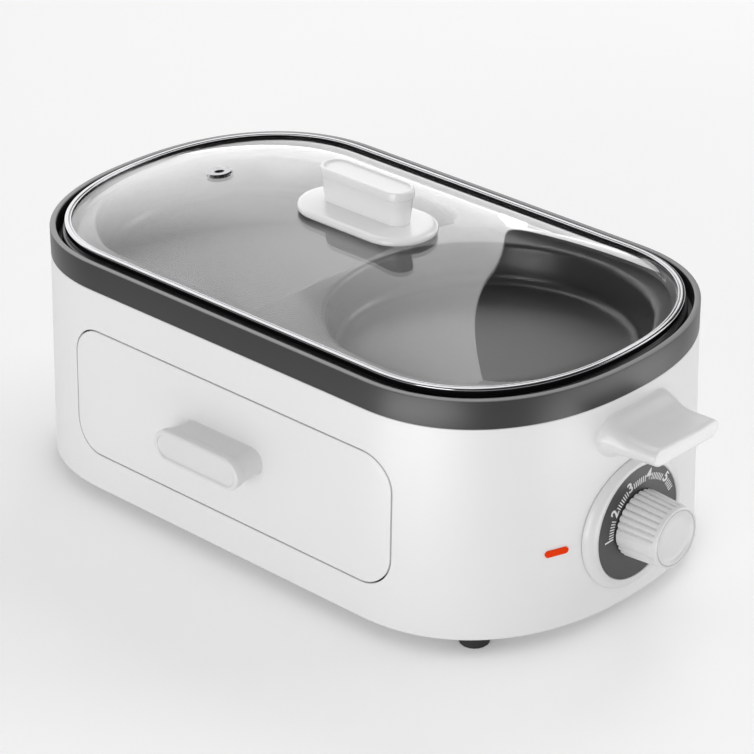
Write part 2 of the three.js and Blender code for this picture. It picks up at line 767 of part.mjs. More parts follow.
// Oval grip standing on its root and widening to a banded, dished free end.
function gripSolid(length) {
  const ring = (width, thickness, z) => level(roundedOutline(width, thickness, thickness / 2), z);
  const share = 1 - gripBand / length;
  const neckWidth = gripRootWidth + (gripWidth - gripBandStep - gripRootWidth) * share;
  const neckThickness = gripRootThickness + (gripThickness - gripBandStep - gripRootThickness) * share;
  const rim = 2 * gripEdgeRound;
  const dish = rim + 2 * gripRimWidth;
  return skin([
    ring(gripRootWidth, gripRootThickness, 0),
    ring(neckWidth, neckThickness, length - gripBand - gripBandStep),
    ring(gripWidth, gripThickness, length - gripBand + gripBandStep),
    ring(gripWidth, gripThickness, length - gripEdgeRound),
    ring(gripWidth - rim, gripThickness - rim, length),
    ring(gripWidth - dish, gripThickness - dish, length),
    ring(gripWidth - dish - rim, gripThickness - dish - rim, length - gripDishDepth),
  ]);
}

// Screw that holds a grip: head at the origin, shank upwards.
function gripScrew(reach) {
  return turned([
    [0, -gripHeadHeight], [gripHeadRadius, -gripHeadHeight], [gripHeadRadius, 0],
    [gripScrewRadius, 0], [gripScrewRadius, reach], [0, reach],
  ], 'up', smallRoundSteps);
}

const gripScrewPlaces = [-gripScrewSpacing / 2, gripScrewSpacing / 2];

function buildDrawer(group) {
  const panelOutline = roundedOutline(drawerWidth, drawerHeight, drawerCornerRadius);
  const panelBlank = frontPrism(
    panelOutline, drawerCentreX, drawerCentreHeight, -halfWidth - cutOverrun, -halfWidth / 2,
  );
  const skinPanel = panelBlank.intersect(bodyForm(0)).subtract(bodyForm(drawerSkin));
  const bossPlacesXZ = [-1, 1].map((side) => [
    drawerCentreX + (side * drawerBossSpacing) / 2, drawerCentreHeight + drawerBossRise,
  ]);
  const bossBack = innerPlateFront + fitGap;
  const bossFront = panelFaceY - drawerSkin / 2;
  const bosses = bossPlacesXZ.map(([x, z]) => bar(bossRadius, bossBack, bossFront, 'front').translate(x, 0, z));
  const bossHoles = bossPlacesXZ.map(([x, z]) => (
    bar(screwHoleRadius, innerPlateBack, bossFront - smallHeadHeight / 2, 'front').translate(x, 0, z)
  ));
  const gripX = gripScrewPlaces.map((x) => x + drawerGripX);
  const gripHoles = gripX.map((x) => bar(gripHoleRadius, 0, bodyWidth, 'front').translate(x, 0, drawerGripHeight));
  addPart(group, 'drawer_front', cut(join([skinPanel, ...bosses]), [...bossHoles, ...gripHoles]), colours.white);

  const plateOutline = roundedOutline(drawerWidth, drawerHeight, drawerCornerRadius, innerPlateInset);
  const plate = frontPrism(plateOutline, drawerCentreX, drawerCentreHeight, -innerPlateFront, -innerPlateBack);
  const plateHoles = bossPlacesXZ.map(([x, z]) => bar(screwHoleRadius, 0, bodyWidth, 'front').translate(x, 0, z));
  addPart(group, 'drawer_inner_plate', cut(plate, plateHoles), colours.sheet);

  const headBack = innerPlateBack - fitGap - smallHeadHeight;
  const screw = turned([
    [0, headBack], [smallHeadRadius, headBack], [smallHeadRadius, innerPlateBack - fitGap],
    [smallScrewRadius, innerPlateBack - fitGap], [smallScrewRadius, bossFront - smallHeadHeight],
    [0, bossFront - smallHeadHeight],
  ], 'front', smallRoundSteps);
  addCopies(group, 'drawer_screw', sideNames, screw, colours.steel, bossPlacesXZ.map(([x, z]) => [x, 0, z]));

  const gripBase = frontFaceY(drawerGripHeight) + fitGap;
  const tip = gripBase + drawerGripDepth;
  const grip = gripSolid(tip - halfWidth).translate(0, 0, halfWidth);
  const screwHoles = gripScrewPlaces.map((x) => bar(gripHoleRadius, 0, gripBase + gripScrewReach).translate(x, 0, 0));
  const upright = cut(grip, screwHoles);
  const handle = upright.rotate([90, 0, 0]).translate(drawerGripX, 0, drawerGripHeight);
  addPart(group, 'drawer_handle', handle.subtract(bodyForm(-fitGap)), colours.lightGrey);
  const screwBase = panelFaceY - drawerSkin - 2 * fitGap;
  const reach = gripBase + gripScrewReach - fitGap - screwBase;
  const handleScrew = gripScrew(reach).translate(0, 0, screwBase).rotate([90, 0, 0]);
  const handleScrewPlaces = gripX.map((x) => [x, 0, drawerGripHeight]);
  addCopies(group, 'drawer_handle_screw', sideNames, handleScrew, colours.steel, handleScrewPlaces);

  const frameY = frameLength / 2 - frameFront;
  const frameTop = frameBottom + frameBarHeight;
  const frameOutline = (inset) => roundedOutline(frameWidth, frameLength, frameCornerRadius, inset);
  const frame = uprightPrism(frameOutline(0), 0, frameY, frameBottom, frameTop).subtract(
    uprightPrism(frameOutline(frameBar), 0, frameY, 0, rimTop),
  );
  addPart(group, 'drawer_frame', frame, colours.steel);

  const trayRing = (inset, z) => roundedOutline(
    frameWidth - 2 * frameBar, frameLength - 2 * frameBar, trayCornerRadius, inset,
  ).map((p) => new THREE.Vector3(p.x, p.y + frameY, z));
  const lipBottomZ = frameTop + fitGap;
  const lipTopZ = lipBottomZ + sheetThickness;
  const trayFloor = lowerHeaterHeight + ovenHeaterRadius + trayHeaterGap;
  const side = trayMargin + trayDraft;
  addPart(group, 'drawer_tray', skin([
    trayRing(side, trayFloor), trayRing(trayMargin, lipBottomZ), trayRing(-trayLip, lipBottomZ),
    trayRing(-trayLip, lipTopZ), trayRing(trayMargin + trayWall, lipTopZ),
    trayRing(side + trayWall, trayFloor + trayWall),
  ]), colours.sheet);

  buildRack(group, frameY, trayFloor + trayWall + fitGap);
}

function buildRack(group, middleY, bottom) {
  const rackX = frameWidth / 2 - frameBar - trayMargin - trayDraft - rackMargin;
  const rackY = frameLength / 2 - frameBar - trayMargin - trayDraft - rackMargin;
  const wireZ = bottom + rackHeight;
  const rail = (x) => bar(rackWireRadius, -rackY, rackY, 'back', wireSides).translate(x, 0, wireZ);
  const cross = (y) => bar(rackWireRadius, -rackX, rackX, 'right', wireSides).translate(0, y, wireZ);
  const leg = ([x, y]) => bar(rackWireRadius, bottom, wireZ, 'up', wireSides).translate(x * rackX, y * rackY, 0);
  const crossWires = Array.from({ length: rackWireCount }, (_, i) => (
    cross(((2 * i) / (rackWireCount - 1) - 1) * rackY)
  ));
  const rack = join([rail(-rackX), rail(rackX), ...crossWires, ...corners.map(leg)]);
  addPart(group, 'wire_rack', rack.translate(0, middleY, 0), colours.steel);
}

function buildPan(group) {
  const slab = skin([bodyRing(panLipInset, lipBottom), bodyRing(panLipInset, lipTop)]);
  const slopeInset = panLipInset + panLipWidth;
  const upperRecess = skin([
    bodyRing(slopeInset + panRimSlope, deckTop), bodyRing(slopeInset, lipTop), bodyRing(slopeInset, lipTop + cutOverrun),
  ]);
  const underInset = panLipInset + panLipThickness;
  const deckBottom = deckTop - panDeckThickness;
  const lowerRecess = skin([bodyRing(underInset, lipBottom - cutOverrun), bodyRing(underInset, deckBottom)]);

  const wellX = wellSpacing / 2;
  const quarterArc = (quarter) => [0, 0, wellReachX, quarter, wellReachY];
  const roundArcs = [3, 0, 1, 2].map(quarterArc);
  const sideX = 2 * wellX - wellReachX - wellLand - wellCornerRadius;
  const sideY = wellReachY - wellCornerRadius;
  const flatArcs = [
    [sideX, -sideY, wellCornerRadius, 3], [sideX, sideY, wellCornerRadius, 0], quarterArc(1), quarterArc(2),
  ];
  const wallInset = wellMouthRound + wellDraft;
  const wells = [[wellX, roundArcs], [-wellX, flatArcs]].map(([x, arcs]) => {
    const ring = (inset, z) => arcOutline(arcs, inset, 2 * cornerSteps)
      .map((p) => new THREE.Vector3(x + p.x, p.y, z));
    const halfRound = wellMouthRound / 3;
    const halfFloor = wellFloorRound / 3;
    const hollow = skin([
      ring(wallInset + wellFloorRound, panFloor),
      ring(wallInset + halfFloor, panFloor + halfFloor),
      ring(wallInset, panFloor + wellFloorRound),
      ring(wellMouthRound, deckTop - wellMouthRound),
      ring(halfRound, deckTop - halfRound),
      ring(0, deckTop),
      ring(0, lipTop + cutOverrun),
    ]);
    const body = skin([
      ring(wallInset + wellFloorRound - wellWall / 2, panUnderside),
      ring(wallInset - wellWall, panFloor + wellFloorRound - wellWall / 2),
      ring(wellMouthRound - wellWall, deckBottom),
      ring(wellMouthRound - wellWall, deckTop - wellMouthRound / 2),
    ]);
    return { hollow, body };
  });
  const blank = cut(slab, [upperRecess, lowerRecess]);
  const shape = cut(join([blank, ...wells.map((w) => w.body)]), wells.map((w) => w.hollow));
  addPart(group, 'double_pan', shape, colours.nonStick);
}

// Height that the glass dome has lost at a share of the way out from its middle.
function domeDrop(share) {
  return domeRise * share ** domeShapeShare;
}

function buildLid(group) {
  const slotInset = lidRimInset + lidRimRoll;
  const inner = lidRimInset + lidRimWidth;
  const lidRimTop = lidRimBottom + lidRimHeight;
  const rimSection = [
    [lidRimInset + lidRimWall, lidRimBottom], [lidRimInset, lidRimBottom + lidRimRoll],
    [lidRimInset, lidRimTop - lidRimRoll], [slotInset, lidRimTop], [inner - lidRimWall / 2, lidRimTop],
    [inner, lidRimTop - lidRimWall / 2], [inner, lidRimTop - lidRimWall], [slotInset, lidRimTop - lidRimWall],
    [slotInset, lidRimBottom + lidRimWall], [inner - lidRimRoll, lidRimBottom + lidRimWall],
    [inner - lidRimRoll, lidRimBottom],
  ];
  addPart(group, 'lid_rim', skin(rimSection.map(([inset, z]) => bodyRing(inset, z)), true), colours.steel);

  const dome = (share, thickness) => bodyRing(domeInset, domeTop - thickness - domeDrop(share), share);
  const glass = skin([
    ...domeShares.map((share) => dome(share, 0)),
    bodyRing(glassInset, glassEdgeTop), bodyRing(glassInset, glassEdgeBottom),
    ...domeUnderShares.map((share) => dome(share, glassThickness)),
  ]);
  const ventShare = ventDistance / domeLength;
  const ventZ = domeTop - domeDrop(ventShare);
  const ventTurn = -Math.atan2(domeDrop(ventShare) * domeShapeShare, ventDistance);
  const ventTurnDegrees = THREE.MathUtils.radToDeg(ventTurn);
  const placeVent = (shape) => shape.rotate([0, ventTurnDegrees, 0]).translate(-ventDistance, 0, ventZ);
  const ventHole = placeVent(bar(ventHoleRadius, -domeRise, domeRise));
  const screwHoles = gripScrewPlaces.map((x) => bar(gripHoleRadius, 0, 2 * rimTop).translate(x, 0, 0));
  addPart(group, 'lid_glass', cut(glass, [ventHole, ...screwHoles]), colours.glass);

  const under = -glassThickness - ventSeatGap;
  const vent = turned([
    [ventBoreRadius, under - ventFlangeThickness], [ventFlangeRadius - fitGap, under - ventFlangeThickness],
    [ventFlangeRadius - fitGap, under], [ventTubeRadius, under], [ventTubeRadius, ventSeatGap],
    [ventFlangeRadius, ventSeatGap], [ventFlangeRadius - ventFlangeThickness, ventSeatGap + ventFlangeThickness],
    [ventBoreRadius, ventSeatGap + ventFlangeThickness], [ventBoreRadius, under - ventFlangeThickness],
  ], 'up', mediumRoundSteps);
  addPart(group, 'steam_vent', placeVent(vent), colours.steel);

  const plateBase = domeTop + handlePlateLift;
  const plateRing = (inset, z) => level(
    roundedOutline(handlePlateLength, handlePlateWidth, handlePlateWidth / 2, inset, cornerSteps), z,
  );
  const plateRim = plateBase + handlePlateEdge;
  const plateUpper = plateRim + handlePlateRound;
  const plateRound = handlePlateRoundShares.map((share) => {
    const inset = handlePlateRound * (1 - Math.cos(share * quarterTurn));
    return plateRing(inset, plateRim + handlePlateRound * Math.sin(share * quarterTurn));
  });
  const plate = skin([
    plateRing(handlePlateFoot, plateBase), plateRing(0, plateBase + handlePlateFoot),
    ...plateRound, plateRing(handlePlateWidth / 3, plateUpper + handlePlateCrown),
  ]);
  addPart(group, 'lid_handle_base', cut(plate, screwHoles), colours.white);

  const gripFoot = plateUpper + handlePlateCrown + fitGap;
  const blindHoles = gripScrewPlaces.map((x) => (
    bar(gripHoleRadius, gripFoot - cutOverrun, gripFoot + gripScrewReach).translate(x, 0, 0)
  ));
  const grip = gripSolid(lidGripHeight).translate(0, 0, gripFoot);
  addPart(group, 'lid_handle_grip', cut(grip, blindHoles), colours.white);

  const padTop = domeTop - glassThickness - domeDrop(domeShares[0]) - fitGap;
  const padOutline = roundedOutline(padLength, padWidth, padWidth / 2);
  const pad = uprightPrism(padOutline, 0, 0, padTop - padThickness, padTop);
  addPart(group, 'lid_handle_pad', cut(pad, screwHoles), colours.rubber);
  const headTop = padTop - padThickness - fitGap;
  const screw = gripScrew(gripFoot + gripScrewReach - fitGap - headTop).translate(0, 0, headTop);
  const screwPlaces = gripScrewPlaces.map((x) => [x, 0, 0]);
  addCopies(group, 'lid_handle_screw', sideNames, screw, colours.steel, screwPlaces);
}

const endX = endFaceX(0, controlHeight);
const bezelFloor = endX + bezelFloorOffset;
const dialFront = bezelFloor + fitGap + dialPlateThickness;
const bracketFace = endX - shellWall - switchStandoff + sheetThickness;
const switchFront = bracketFace - sheetThickness - fitGap;
const knobBack = dialFront + knobClearance;

function buildControl(group) {
  const bezelCrest = endX + bezelFront;
  const skirtBack = endX - bezelRadius / 2;
  const skirtInner = bezelRadius - bezelWall;
  const floorBack = bezelFloor - bezelFloorThickness;
  const roundWidth = bezelRingWidth - bezelLipWidth;
  const ringRound = Array.from({ length: bezelRoundSteps + 1 }, (_, i) => {
    const angle = (i / bezelRoundSteps) * quarterTurn;
    return [
      bezelRadius - roundWidth * (1 - Math.cos(angle)), bezelCrest - bezelRoundDepth * (1 - Math.sin(angle)),
    ];
  });
  const ring = turned([
    [shaftHoleRadius, floorBack], [skirtInner, floorBack], [skirtInner, skirtBack], [bezelRadius, skirtBack],
    ...ringRound, [bezelInnerRadius, bezelCrest - bezelLipDrop], [bezelInnerRadius, bezelFloor],
    [shaftHoleRadius, bezelFloor], [shaftHoleRadius, floorBack],
  ], 'right');
  const collar = sleeve(
    collarRadius - collarWall, collarRadius, endX - collarDepth, floorBack + bezelFloorThickness / 2, 'right', roundSteps,
  );
  const axis = [0, 0, controlHeight];
  const hole = bar(collarRadius, halfLength / 2, bodyLength, 'right', roundSteps).translate(axis);
  const seat = bodyForm(-fitGap).subtract(hole);
  const bezel = ring.translate(axis).subtract(seat).add(collar.translate(axis));
  addPart(group, 'dial_bezel', bezel, colours.white);
  const dialPlate = sleeve(
    shaftHoleRadius, bezelInnerRadius - fitGap, bezelFloor + fitGap, dialFront, 'right', roundSteps,
  );
  addPart(group, 'dial_plate', dialPlate.translate(axis), colours.dial);

  addPart(group, 'control_knob', knobSolid().translate(axis), colours.lightGrey);
  const shaftEnd = knobBack + shaftGrip;
  const shaftStart = switchFront - 2 * shaftRadius;
  addPart(group, 'control_shaft', bar(shaftRadius, shaftStart, shaftEnd, 'right').translate(axis), colours.steel);

  const switchBody = block(
    switchLength, switchWidth, switchWidth, switchFront - switchLength / 2, 0, controlHeight,
  ).subtract(bar(shaftRadius + fitGap, shaftStart - fitGap, bodyLength, 'right').translate(axis));
  addPart(group, 'control_switch', switchBody, colours.black);

  const footBottom = plateTop + fitGap;
  const web = block(
    sheetThickness, bracketWidth, bracketTop - footBottom, bracketFace - sheetThickness / 2, 0,
    (bracketTop + footBottom) / 2,
  );
  const footPlate = block(
    bracketFoot, bracketWidth, sheetThickness, bracketFace - bracketFoot / 2, 0, footBottom + sheetThickness / 2,
  );
  const bracketHole = bar(shaftHoleRadius, 0, bodyLength, 'right').translate(axis);
  addPart(group, 'control_bracket', join([web, footPlate]).subtract(bracketHole), colours.sheet);
}

// Ribbed knob along +X from its back: a tapered ribbed drum, one wide pointer rib and a dished front.
function knobSolid() {
  const knobFront = knobBack + knobLength;
  const drumFront = knobFront - knobFrontRim - knobFrontRound;
  const ribPoints = [];
  for (let i = 0; i < knobRibCount; i += 1) {
    for (const [share, depth] of [[0.12, 0], [0.88, 0], [1, knobRibDepth]]) {
      ribPoints.push([(4 * quarterTurn * (i + share)) / knobRibCount, depth]);
    }
  }
  const drumRing = (radius, x) => ribPoints.map(([angle, depth]) => new THREE.Vector3(
    x, (radius - depth) * Math.cos(angle), (radius - depth) * Math.sin(angle),
  ));
  const drumShare = (drumFront - knobBack) / knobLength;
  const drumFrontRadius = knobRadius + (knobFrontRadius - knobRadius) * drumShare;
  const drum = skin([drumRing(knobRadius, knobBack), drumRing(drumFrontRadius, drumFront)]);
  const rimInner = knobFrontRadius - knobFrontRim - knobFrontRound;
  const cap = turned([
    [0, drumFront - knobFrontRound], [knobFrontRadius, drumFront - knobFrontRound],
    [knobFrontRadius, knobFront - knobFrontRound], [knobFrontRadius - knobFrontRound, knobFront],
    [rimInner, knobFront], [rimInner - knobDishDepth, knobFront - knobDishDepth], [0, knobFront - knobDishDepth],
  ], 'right');
  const pointerReach = knobRadius + knobRibDepth / 2;
  const pointerWidth = (4 * knobRadius) / (knobRibCount / 5);
  const pointerEnd = drumFront;
  const pointerBlock = block(
    pointerEnd - knobBack, pointerReach, pointerWidth / 2, (knobBack + pointerEnd) / 2, pointerReach / 2, 0,
  ).intersect(turned([
    [0, knobBack], [pointerReach, knobBack], [knobFrontRadius + knobRibDepth / 2, pointerEnd], [0, pointerEnd],
  ], 'right'));
  const pointer = pointerBlock.rotate([180 * knobPointerAngleShare, 0, 0]);
  const bore = bar(shaftRadius + fitGap, 0, knobBack + shaftGrip + fitGap, 'right');
  return join([drum, cap, pointer]).subtract(bore);
}

function buildLamp(group) {
  const lens = lampSolid(lensLength, lensHeight, -lensDepth, lensProud, lensHeight / 2);
  addPart(group, 'indicator_lens', lens, colours.amber);
  const bodyFrontDepth = -lensDepth - fitGap;
  const lamp = lampSolid(
    lampBodyLength, lampBodyHeight, bodyFrontDepth - lampBodyDepth, bodyFrontDepth, lampBodyHeight / 4,
  );
  addPart(group, 'indicator_lamp', lamp, colours.black);
}

// Ledge handle: its section flares at the root, and its top dips along the middle.
function sideHandleSolid() {
  const rootX = endFaceX(0, sideHandleHeight);
  const sectionShares = [-0.25, 0, 0.1, 0.2, 0.32, 0.5, 0.75, 0.97, 1];
  const rings = sectionShares.map((share) => {
    const along = Math.max(share, 0);
    const edge = share === 1 ? sideHandleEdge : 0;
    const half = sideHandleWidth / 2 + sideHandleRootFlare * Math.exp(-((along / 0.3) ** 2)) - edge;
    const top = sideHandleThickness / 2 + sideHandleTopFlare * Math.exp(-((along / 0.26) ** 2)) - edge;
    const under = -sideHandleThickness / 2 - sideHandleUnderTaper * (1 - along)
      - sideHandleUnderFlare * Math.exp(-((along / 0.16) ** 2)) + edge;
    const height = top - under;
    const middle = (top + under) / 2;
    const corner = Math.min(height * 0.49, sideHandleWidth / 4);
    return roundedOutline(2 * half, height, corner).map((p) => {
      const upper = Math.max(p.y / (height / 2), 0);
      const dip = sideHandleDip * Math.min(2 * along, 1) * upper * (1 - (p.x / half) ** 2);
      return new THREE.Vector3(rootX + share * sideHandleReach, p.x, sideHandleHeight + middle + p.y - dip);
    });
  });
  return skin(rings).subtract(bodyForm(-fitGap));
}

function buildSideHandles(group) {
  const places = [-1, 1].map((side) => (side * sideScrewSpacing) / 2);
  const outer = endFaceX(sideScrewSpacing / 2, sideHandleHeight);
  const holeEnd = outer + gripScrewReach;
  const holes = places.map((y) => bar(gripHoleRadius, 0, holeEnd, 'right').translate(0, y, sideHandleHeight));
  const handle = cut(sideHandleSolid(), holes);
  addPart(group, 'side_handle_right', handle, colours.lightGrey);
  addPart(group, 'side_handle_left', handle.rotate([0, 0, 180]), colours.lightGrey);
  const headX = endFaceX(sideScrewSpacing / 2 + gripHeadRadius, sideHandleHeight, shellWall) - 2 * fitGap;
  const screw = gripScrew(holeEnd - fitGap - headX).translate(0, 0, headX).rotate([0, 90, 0]);
  const screwPlaces = places.map((y) => [0, y, sideHandleHeight]);
  const rowNames = ['front', 'back'];
  addCopies(group, 'right_handle_screw', rowNames, screw, colours.steel, screwPlaces);
  addCopies(group, 'left_handle_screw', rowNames, screw.rotate([0, 0, 180]), colours.steel, screwPlaces);
}

function buildElectrics(group) {
  const outer = frontFaceY(glandHeight) + 2 * fitGap;
  const inner = frontFaceY(glandHeight, shellWall) - 2 * fitGap;
  const gland = turned([
    [glandBoreRadius, inner - glandNutThickness], [glandFlangeRadius, inner - glandNutThickness],
    [glandFlangeRadius, inner], [glandNeckRadius, inner], [glandNeckRadius, outer],
    [glandFlangeRadius, outer], [glandFlangeRadius - glandFlangeThickness / 2, outer + glandFlangeThickness],
    [glandBoreRadius, outer + glandFlangeThickness], [glandBoreRadius, inner - glandNutThickness],
  ], 'back', mediumRoundSteps);
  addPart(group, 'cord_gland', gland.translate(glandX, 0, glandHeight), colours.black);

  const blockBottom = plateTop + fitGap;
  const blockTop = blockBottom + terminalHeight;
  const terminals = block(
    terminalLength, terminalWidth, terminalHeight, terminalX, terminalY, (blockBottom + blockTop) / 2,
  );
  addPart(group, 'terminal_block', terminals, colours.ceramic);

  const fuseX = linerWidth / 2 + fitGap + fuseRadius;
  const fuse = bar(fuseRadius, -fuseLength / 2, fuseLength / 2, 'back').translate(fuseX, 0, fuseHeight);
  addPart(group, 'thermal_fuse', fuse, colours.steel);

  const switchMiddle = switchFront - switchLength / 2;
  const switchUnder = controlHeight - switchWidth / 2 - 2 * fitGap;
  const fork = new THREE.Vector3(glandX, terminalY, wireHeight);
  const switchFork = new THREE.Vector3(switchMiddle, 0, wireHeight);
  const lampBack = new THREE.Vector3(-lensDepth - lampBodyDepth - wireRadius, 0, 0)
    .applyAxisAngle(new THREE.Vector3(0, 0, 1), lampTurn)
    .add(new THREE.Vector3(lampX, -lampAside, lampHeight));
  const runs = [
    [new THREE.Vector3(terminalX + terminalLength / 3, terminalY, blockTop + wireRadius), fork],
    [
      fork, new THREE.Vector3(postSpacingX / 2, terminalY, wireHeight),
      new THREE.Vector3(switchMiddle, wireCornerY, wireHeight), switchFork,
    ],
    [switchFork, new THREE.Vector3(switchMiddle, 0, switchUnder)],
    [
      fork, new THREE.Vector3(linerWidth / 2, terminalY, (wireHeight + fuseHeight) / 2),
      new THREE.Vector3(fuseX + wireSlack, wireCornerY, fuseHeight),
      new THREE.Vector3(fuseX, fuseLength / 2 + fitGap, fuseHeight),
    ],
    [
      switchFork, new THREE.Vector3(switchMiddle, -switchWidth / 2 - wireSlack, (wireHeight + lampHeight) / 2),
      new THREE.Vector3(lampBack.x - wireSlack, lampBack.y + wireSlack, lampHeight), lampBack,
    ],
  ];
  const section = new THREE.Shape().absarc(0, 0, wireRadius, 0, 4 * quarterTurn);
  const wires = runs.map((points) => solid(new THREE.ExtrudeGeometry(section, {
    steps: points.length > 2 ? wireSteps : 1,
    curveSegments: wireSides / 2,
    extrudePath: new THREE.CatmullRomCurve3(points),
  })));
  const splices = [fork, switchFork].map((place) => (
    solid(new THREE.SphereGeometry(spliceRadius, wireSides, wireSides)).translate(...place.toArray())
  ));
  addPart(group, 'wiring', join([...wires, ...splices]), colours.black);
}

const model = new THREE.Group();
const body = new THREE.Group();
const pan = new THREE.Group();
const lid = new THREE.Group();
const drawer = new THREE.Group();
model.add(body, pan, lid, drawer);

buildShell(body);
buildBand(body);
buildBase(body);
buildChassis(body);
buildOven(body);
buildControl(body);
buildLamp(body);
buildSideHandles(body);
buildElectrics(body);
buildDrawer(drawer);
buildPan(pan);
buildLid(lid);

// The origin lies on the floor, under the middle of the whole.
const box = new THREE.Box3().setFromObject(model);
model.position.y = -(box.min.y + box.max.y) / 2;

export default model;
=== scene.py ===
import json

import bmesh
import bpy
import numpy as np
from mathutils import Matrix, Vector

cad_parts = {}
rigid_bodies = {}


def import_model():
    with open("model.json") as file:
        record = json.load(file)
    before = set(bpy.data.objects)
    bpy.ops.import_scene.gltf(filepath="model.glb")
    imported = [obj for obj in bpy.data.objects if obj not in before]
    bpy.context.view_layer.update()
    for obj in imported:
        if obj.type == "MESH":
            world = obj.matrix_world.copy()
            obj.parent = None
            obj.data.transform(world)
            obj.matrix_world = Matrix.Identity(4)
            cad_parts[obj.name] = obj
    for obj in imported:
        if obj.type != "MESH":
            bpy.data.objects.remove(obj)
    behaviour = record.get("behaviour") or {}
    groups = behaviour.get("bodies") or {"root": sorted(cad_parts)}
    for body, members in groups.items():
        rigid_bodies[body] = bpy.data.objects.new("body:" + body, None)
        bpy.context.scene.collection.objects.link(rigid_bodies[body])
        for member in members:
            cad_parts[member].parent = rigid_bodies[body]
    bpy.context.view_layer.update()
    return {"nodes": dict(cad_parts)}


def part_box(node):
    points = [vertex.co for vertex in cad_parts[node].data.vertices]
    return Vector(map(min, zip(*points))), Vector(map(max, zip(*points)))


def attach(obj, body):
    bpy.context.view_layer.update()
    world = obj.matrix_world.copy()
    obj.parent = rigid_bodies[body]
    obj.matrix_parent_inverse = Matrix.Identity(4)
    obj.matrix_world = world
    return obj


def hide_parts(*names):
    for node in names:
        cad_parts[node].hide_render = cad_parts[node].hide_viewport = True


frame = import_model()

# Studio: a pale floor under an even sky, soft boxes in front, behind the end and high behind, and the camera.
# A tall wall of light and a low strip behind are there for the glass lid, where the wall's end draws an
# upright edge, and two low sheets draw the streaks on the dark band. These four only light reflections.

middle_y = sum(corner[1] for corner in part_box("rim_band")) / 2
scene_objects = bpy.context.scene.collection.objects

camera_azimuth = np.radians(43.06)
camera_elevation = np.radians(27.15)
camera_data = bpy.data.cameras.new("camera")
camera_data.lens = 148.53
camera_data.sensor_width = 36
camera_data.clip_end = 100
camera = bpy.data.objects.new("camera", camera_data)
scene_objects.link(camera)
camera_back = Vector((
    np.sin(camera_azimuth) * np.cos(camera_elevation),
    -np.cos(camera_azimuth) * np.cos(camera_elevation),
    np.sin(camera_elevation),
))
camera_right = Vector((np.cos(camera_azimuth), np.sin(camera_azimuth), 0))
camera_turn = Matrix((camera_right, camera_back.cross(camera_right), camera_back)).transposed()
camera_place = Matrix.Translation((1.03035, middle_y - 1.09505, 0.84015))
camera.matrix_world = camera_place @ camera_turn.to_4x4()
bpy.context.scene.camera = camera
bpy.context.scene.view_settings.view_transform = "Standard"


def soft_box(name, centre, aim, width, height, glow):
    """A rectangular lamp at centre that faces aim.
    Its power is four times its area times the brightness of its face."""
    data = bpy.data.lights.new(name, "AREA")
    data.shape = "RECTANGLE"
    data.size, data.size_y = width, height
    data.energy = 4 * glow * width * height
    lamp = bpy.data.objects.new(name, data)
    scene_objects.link(lamp)
    lamp.location = centre
    lamp.rotation_mode = "QUATERNION"
    lamp.rotation_quaternion = (Vector(aim) - Vector(centre)).to_track_quat("-Z", "Y")
    return lamp


lamp_aim = (0, 0, 0.1)
soft_box("front_soft_box", (0.75, -2.9, 0.6), lamp_aim, width=1.6, height=0.9, glow=4.3)
soft_box("end_soft_box", (1.5, 2.6, 1.6), lamp_aim, width=1.6, height=1.6, glow=2.0)
back_box = soft_box("back_soft_box", (-1.0, 2.4, 2.9), lamp_aim, width=1.6, height=1.6, glow=2.4)
back_box.visible_glossy = back_box.visible_transmission = False
for name, centre, aim, width, height, glow in (
    ("wall_of_light", (-4.89, 1.08, 9.9), (-0.06, -0.22, 9.9), 8.8, 19.8, 1.4),
    ("backdrop_strip", (0.2, 5.0, 0.56), (0.2, 0.0, 0.56), 7.6, 1.1, 1.0),
):
    soft_box(name, centre, aim, width, height, glow).visible_diffuse = False
half_turn_to_face_up = (0, 1, 0, 0)
for name, centre, width, depth, glow in (
    ("front_floor_sheet", (0.17, -0.40, 0.004), 0.34, 0.27, 4.4),
    ("end_floor_sheet", (0.43, 0.14, 0.004), 0.30, 0.36, 2.1),
):
    sheet = soft_box(name, centre, (centre[0], centre[1], 1.0), width, depth, glow)
    sheet.rotation_quaternion = half_turn_to_face_up
    sheet.visible_camera = sheet.visible_diffuse = sheet.visible_transmission = False


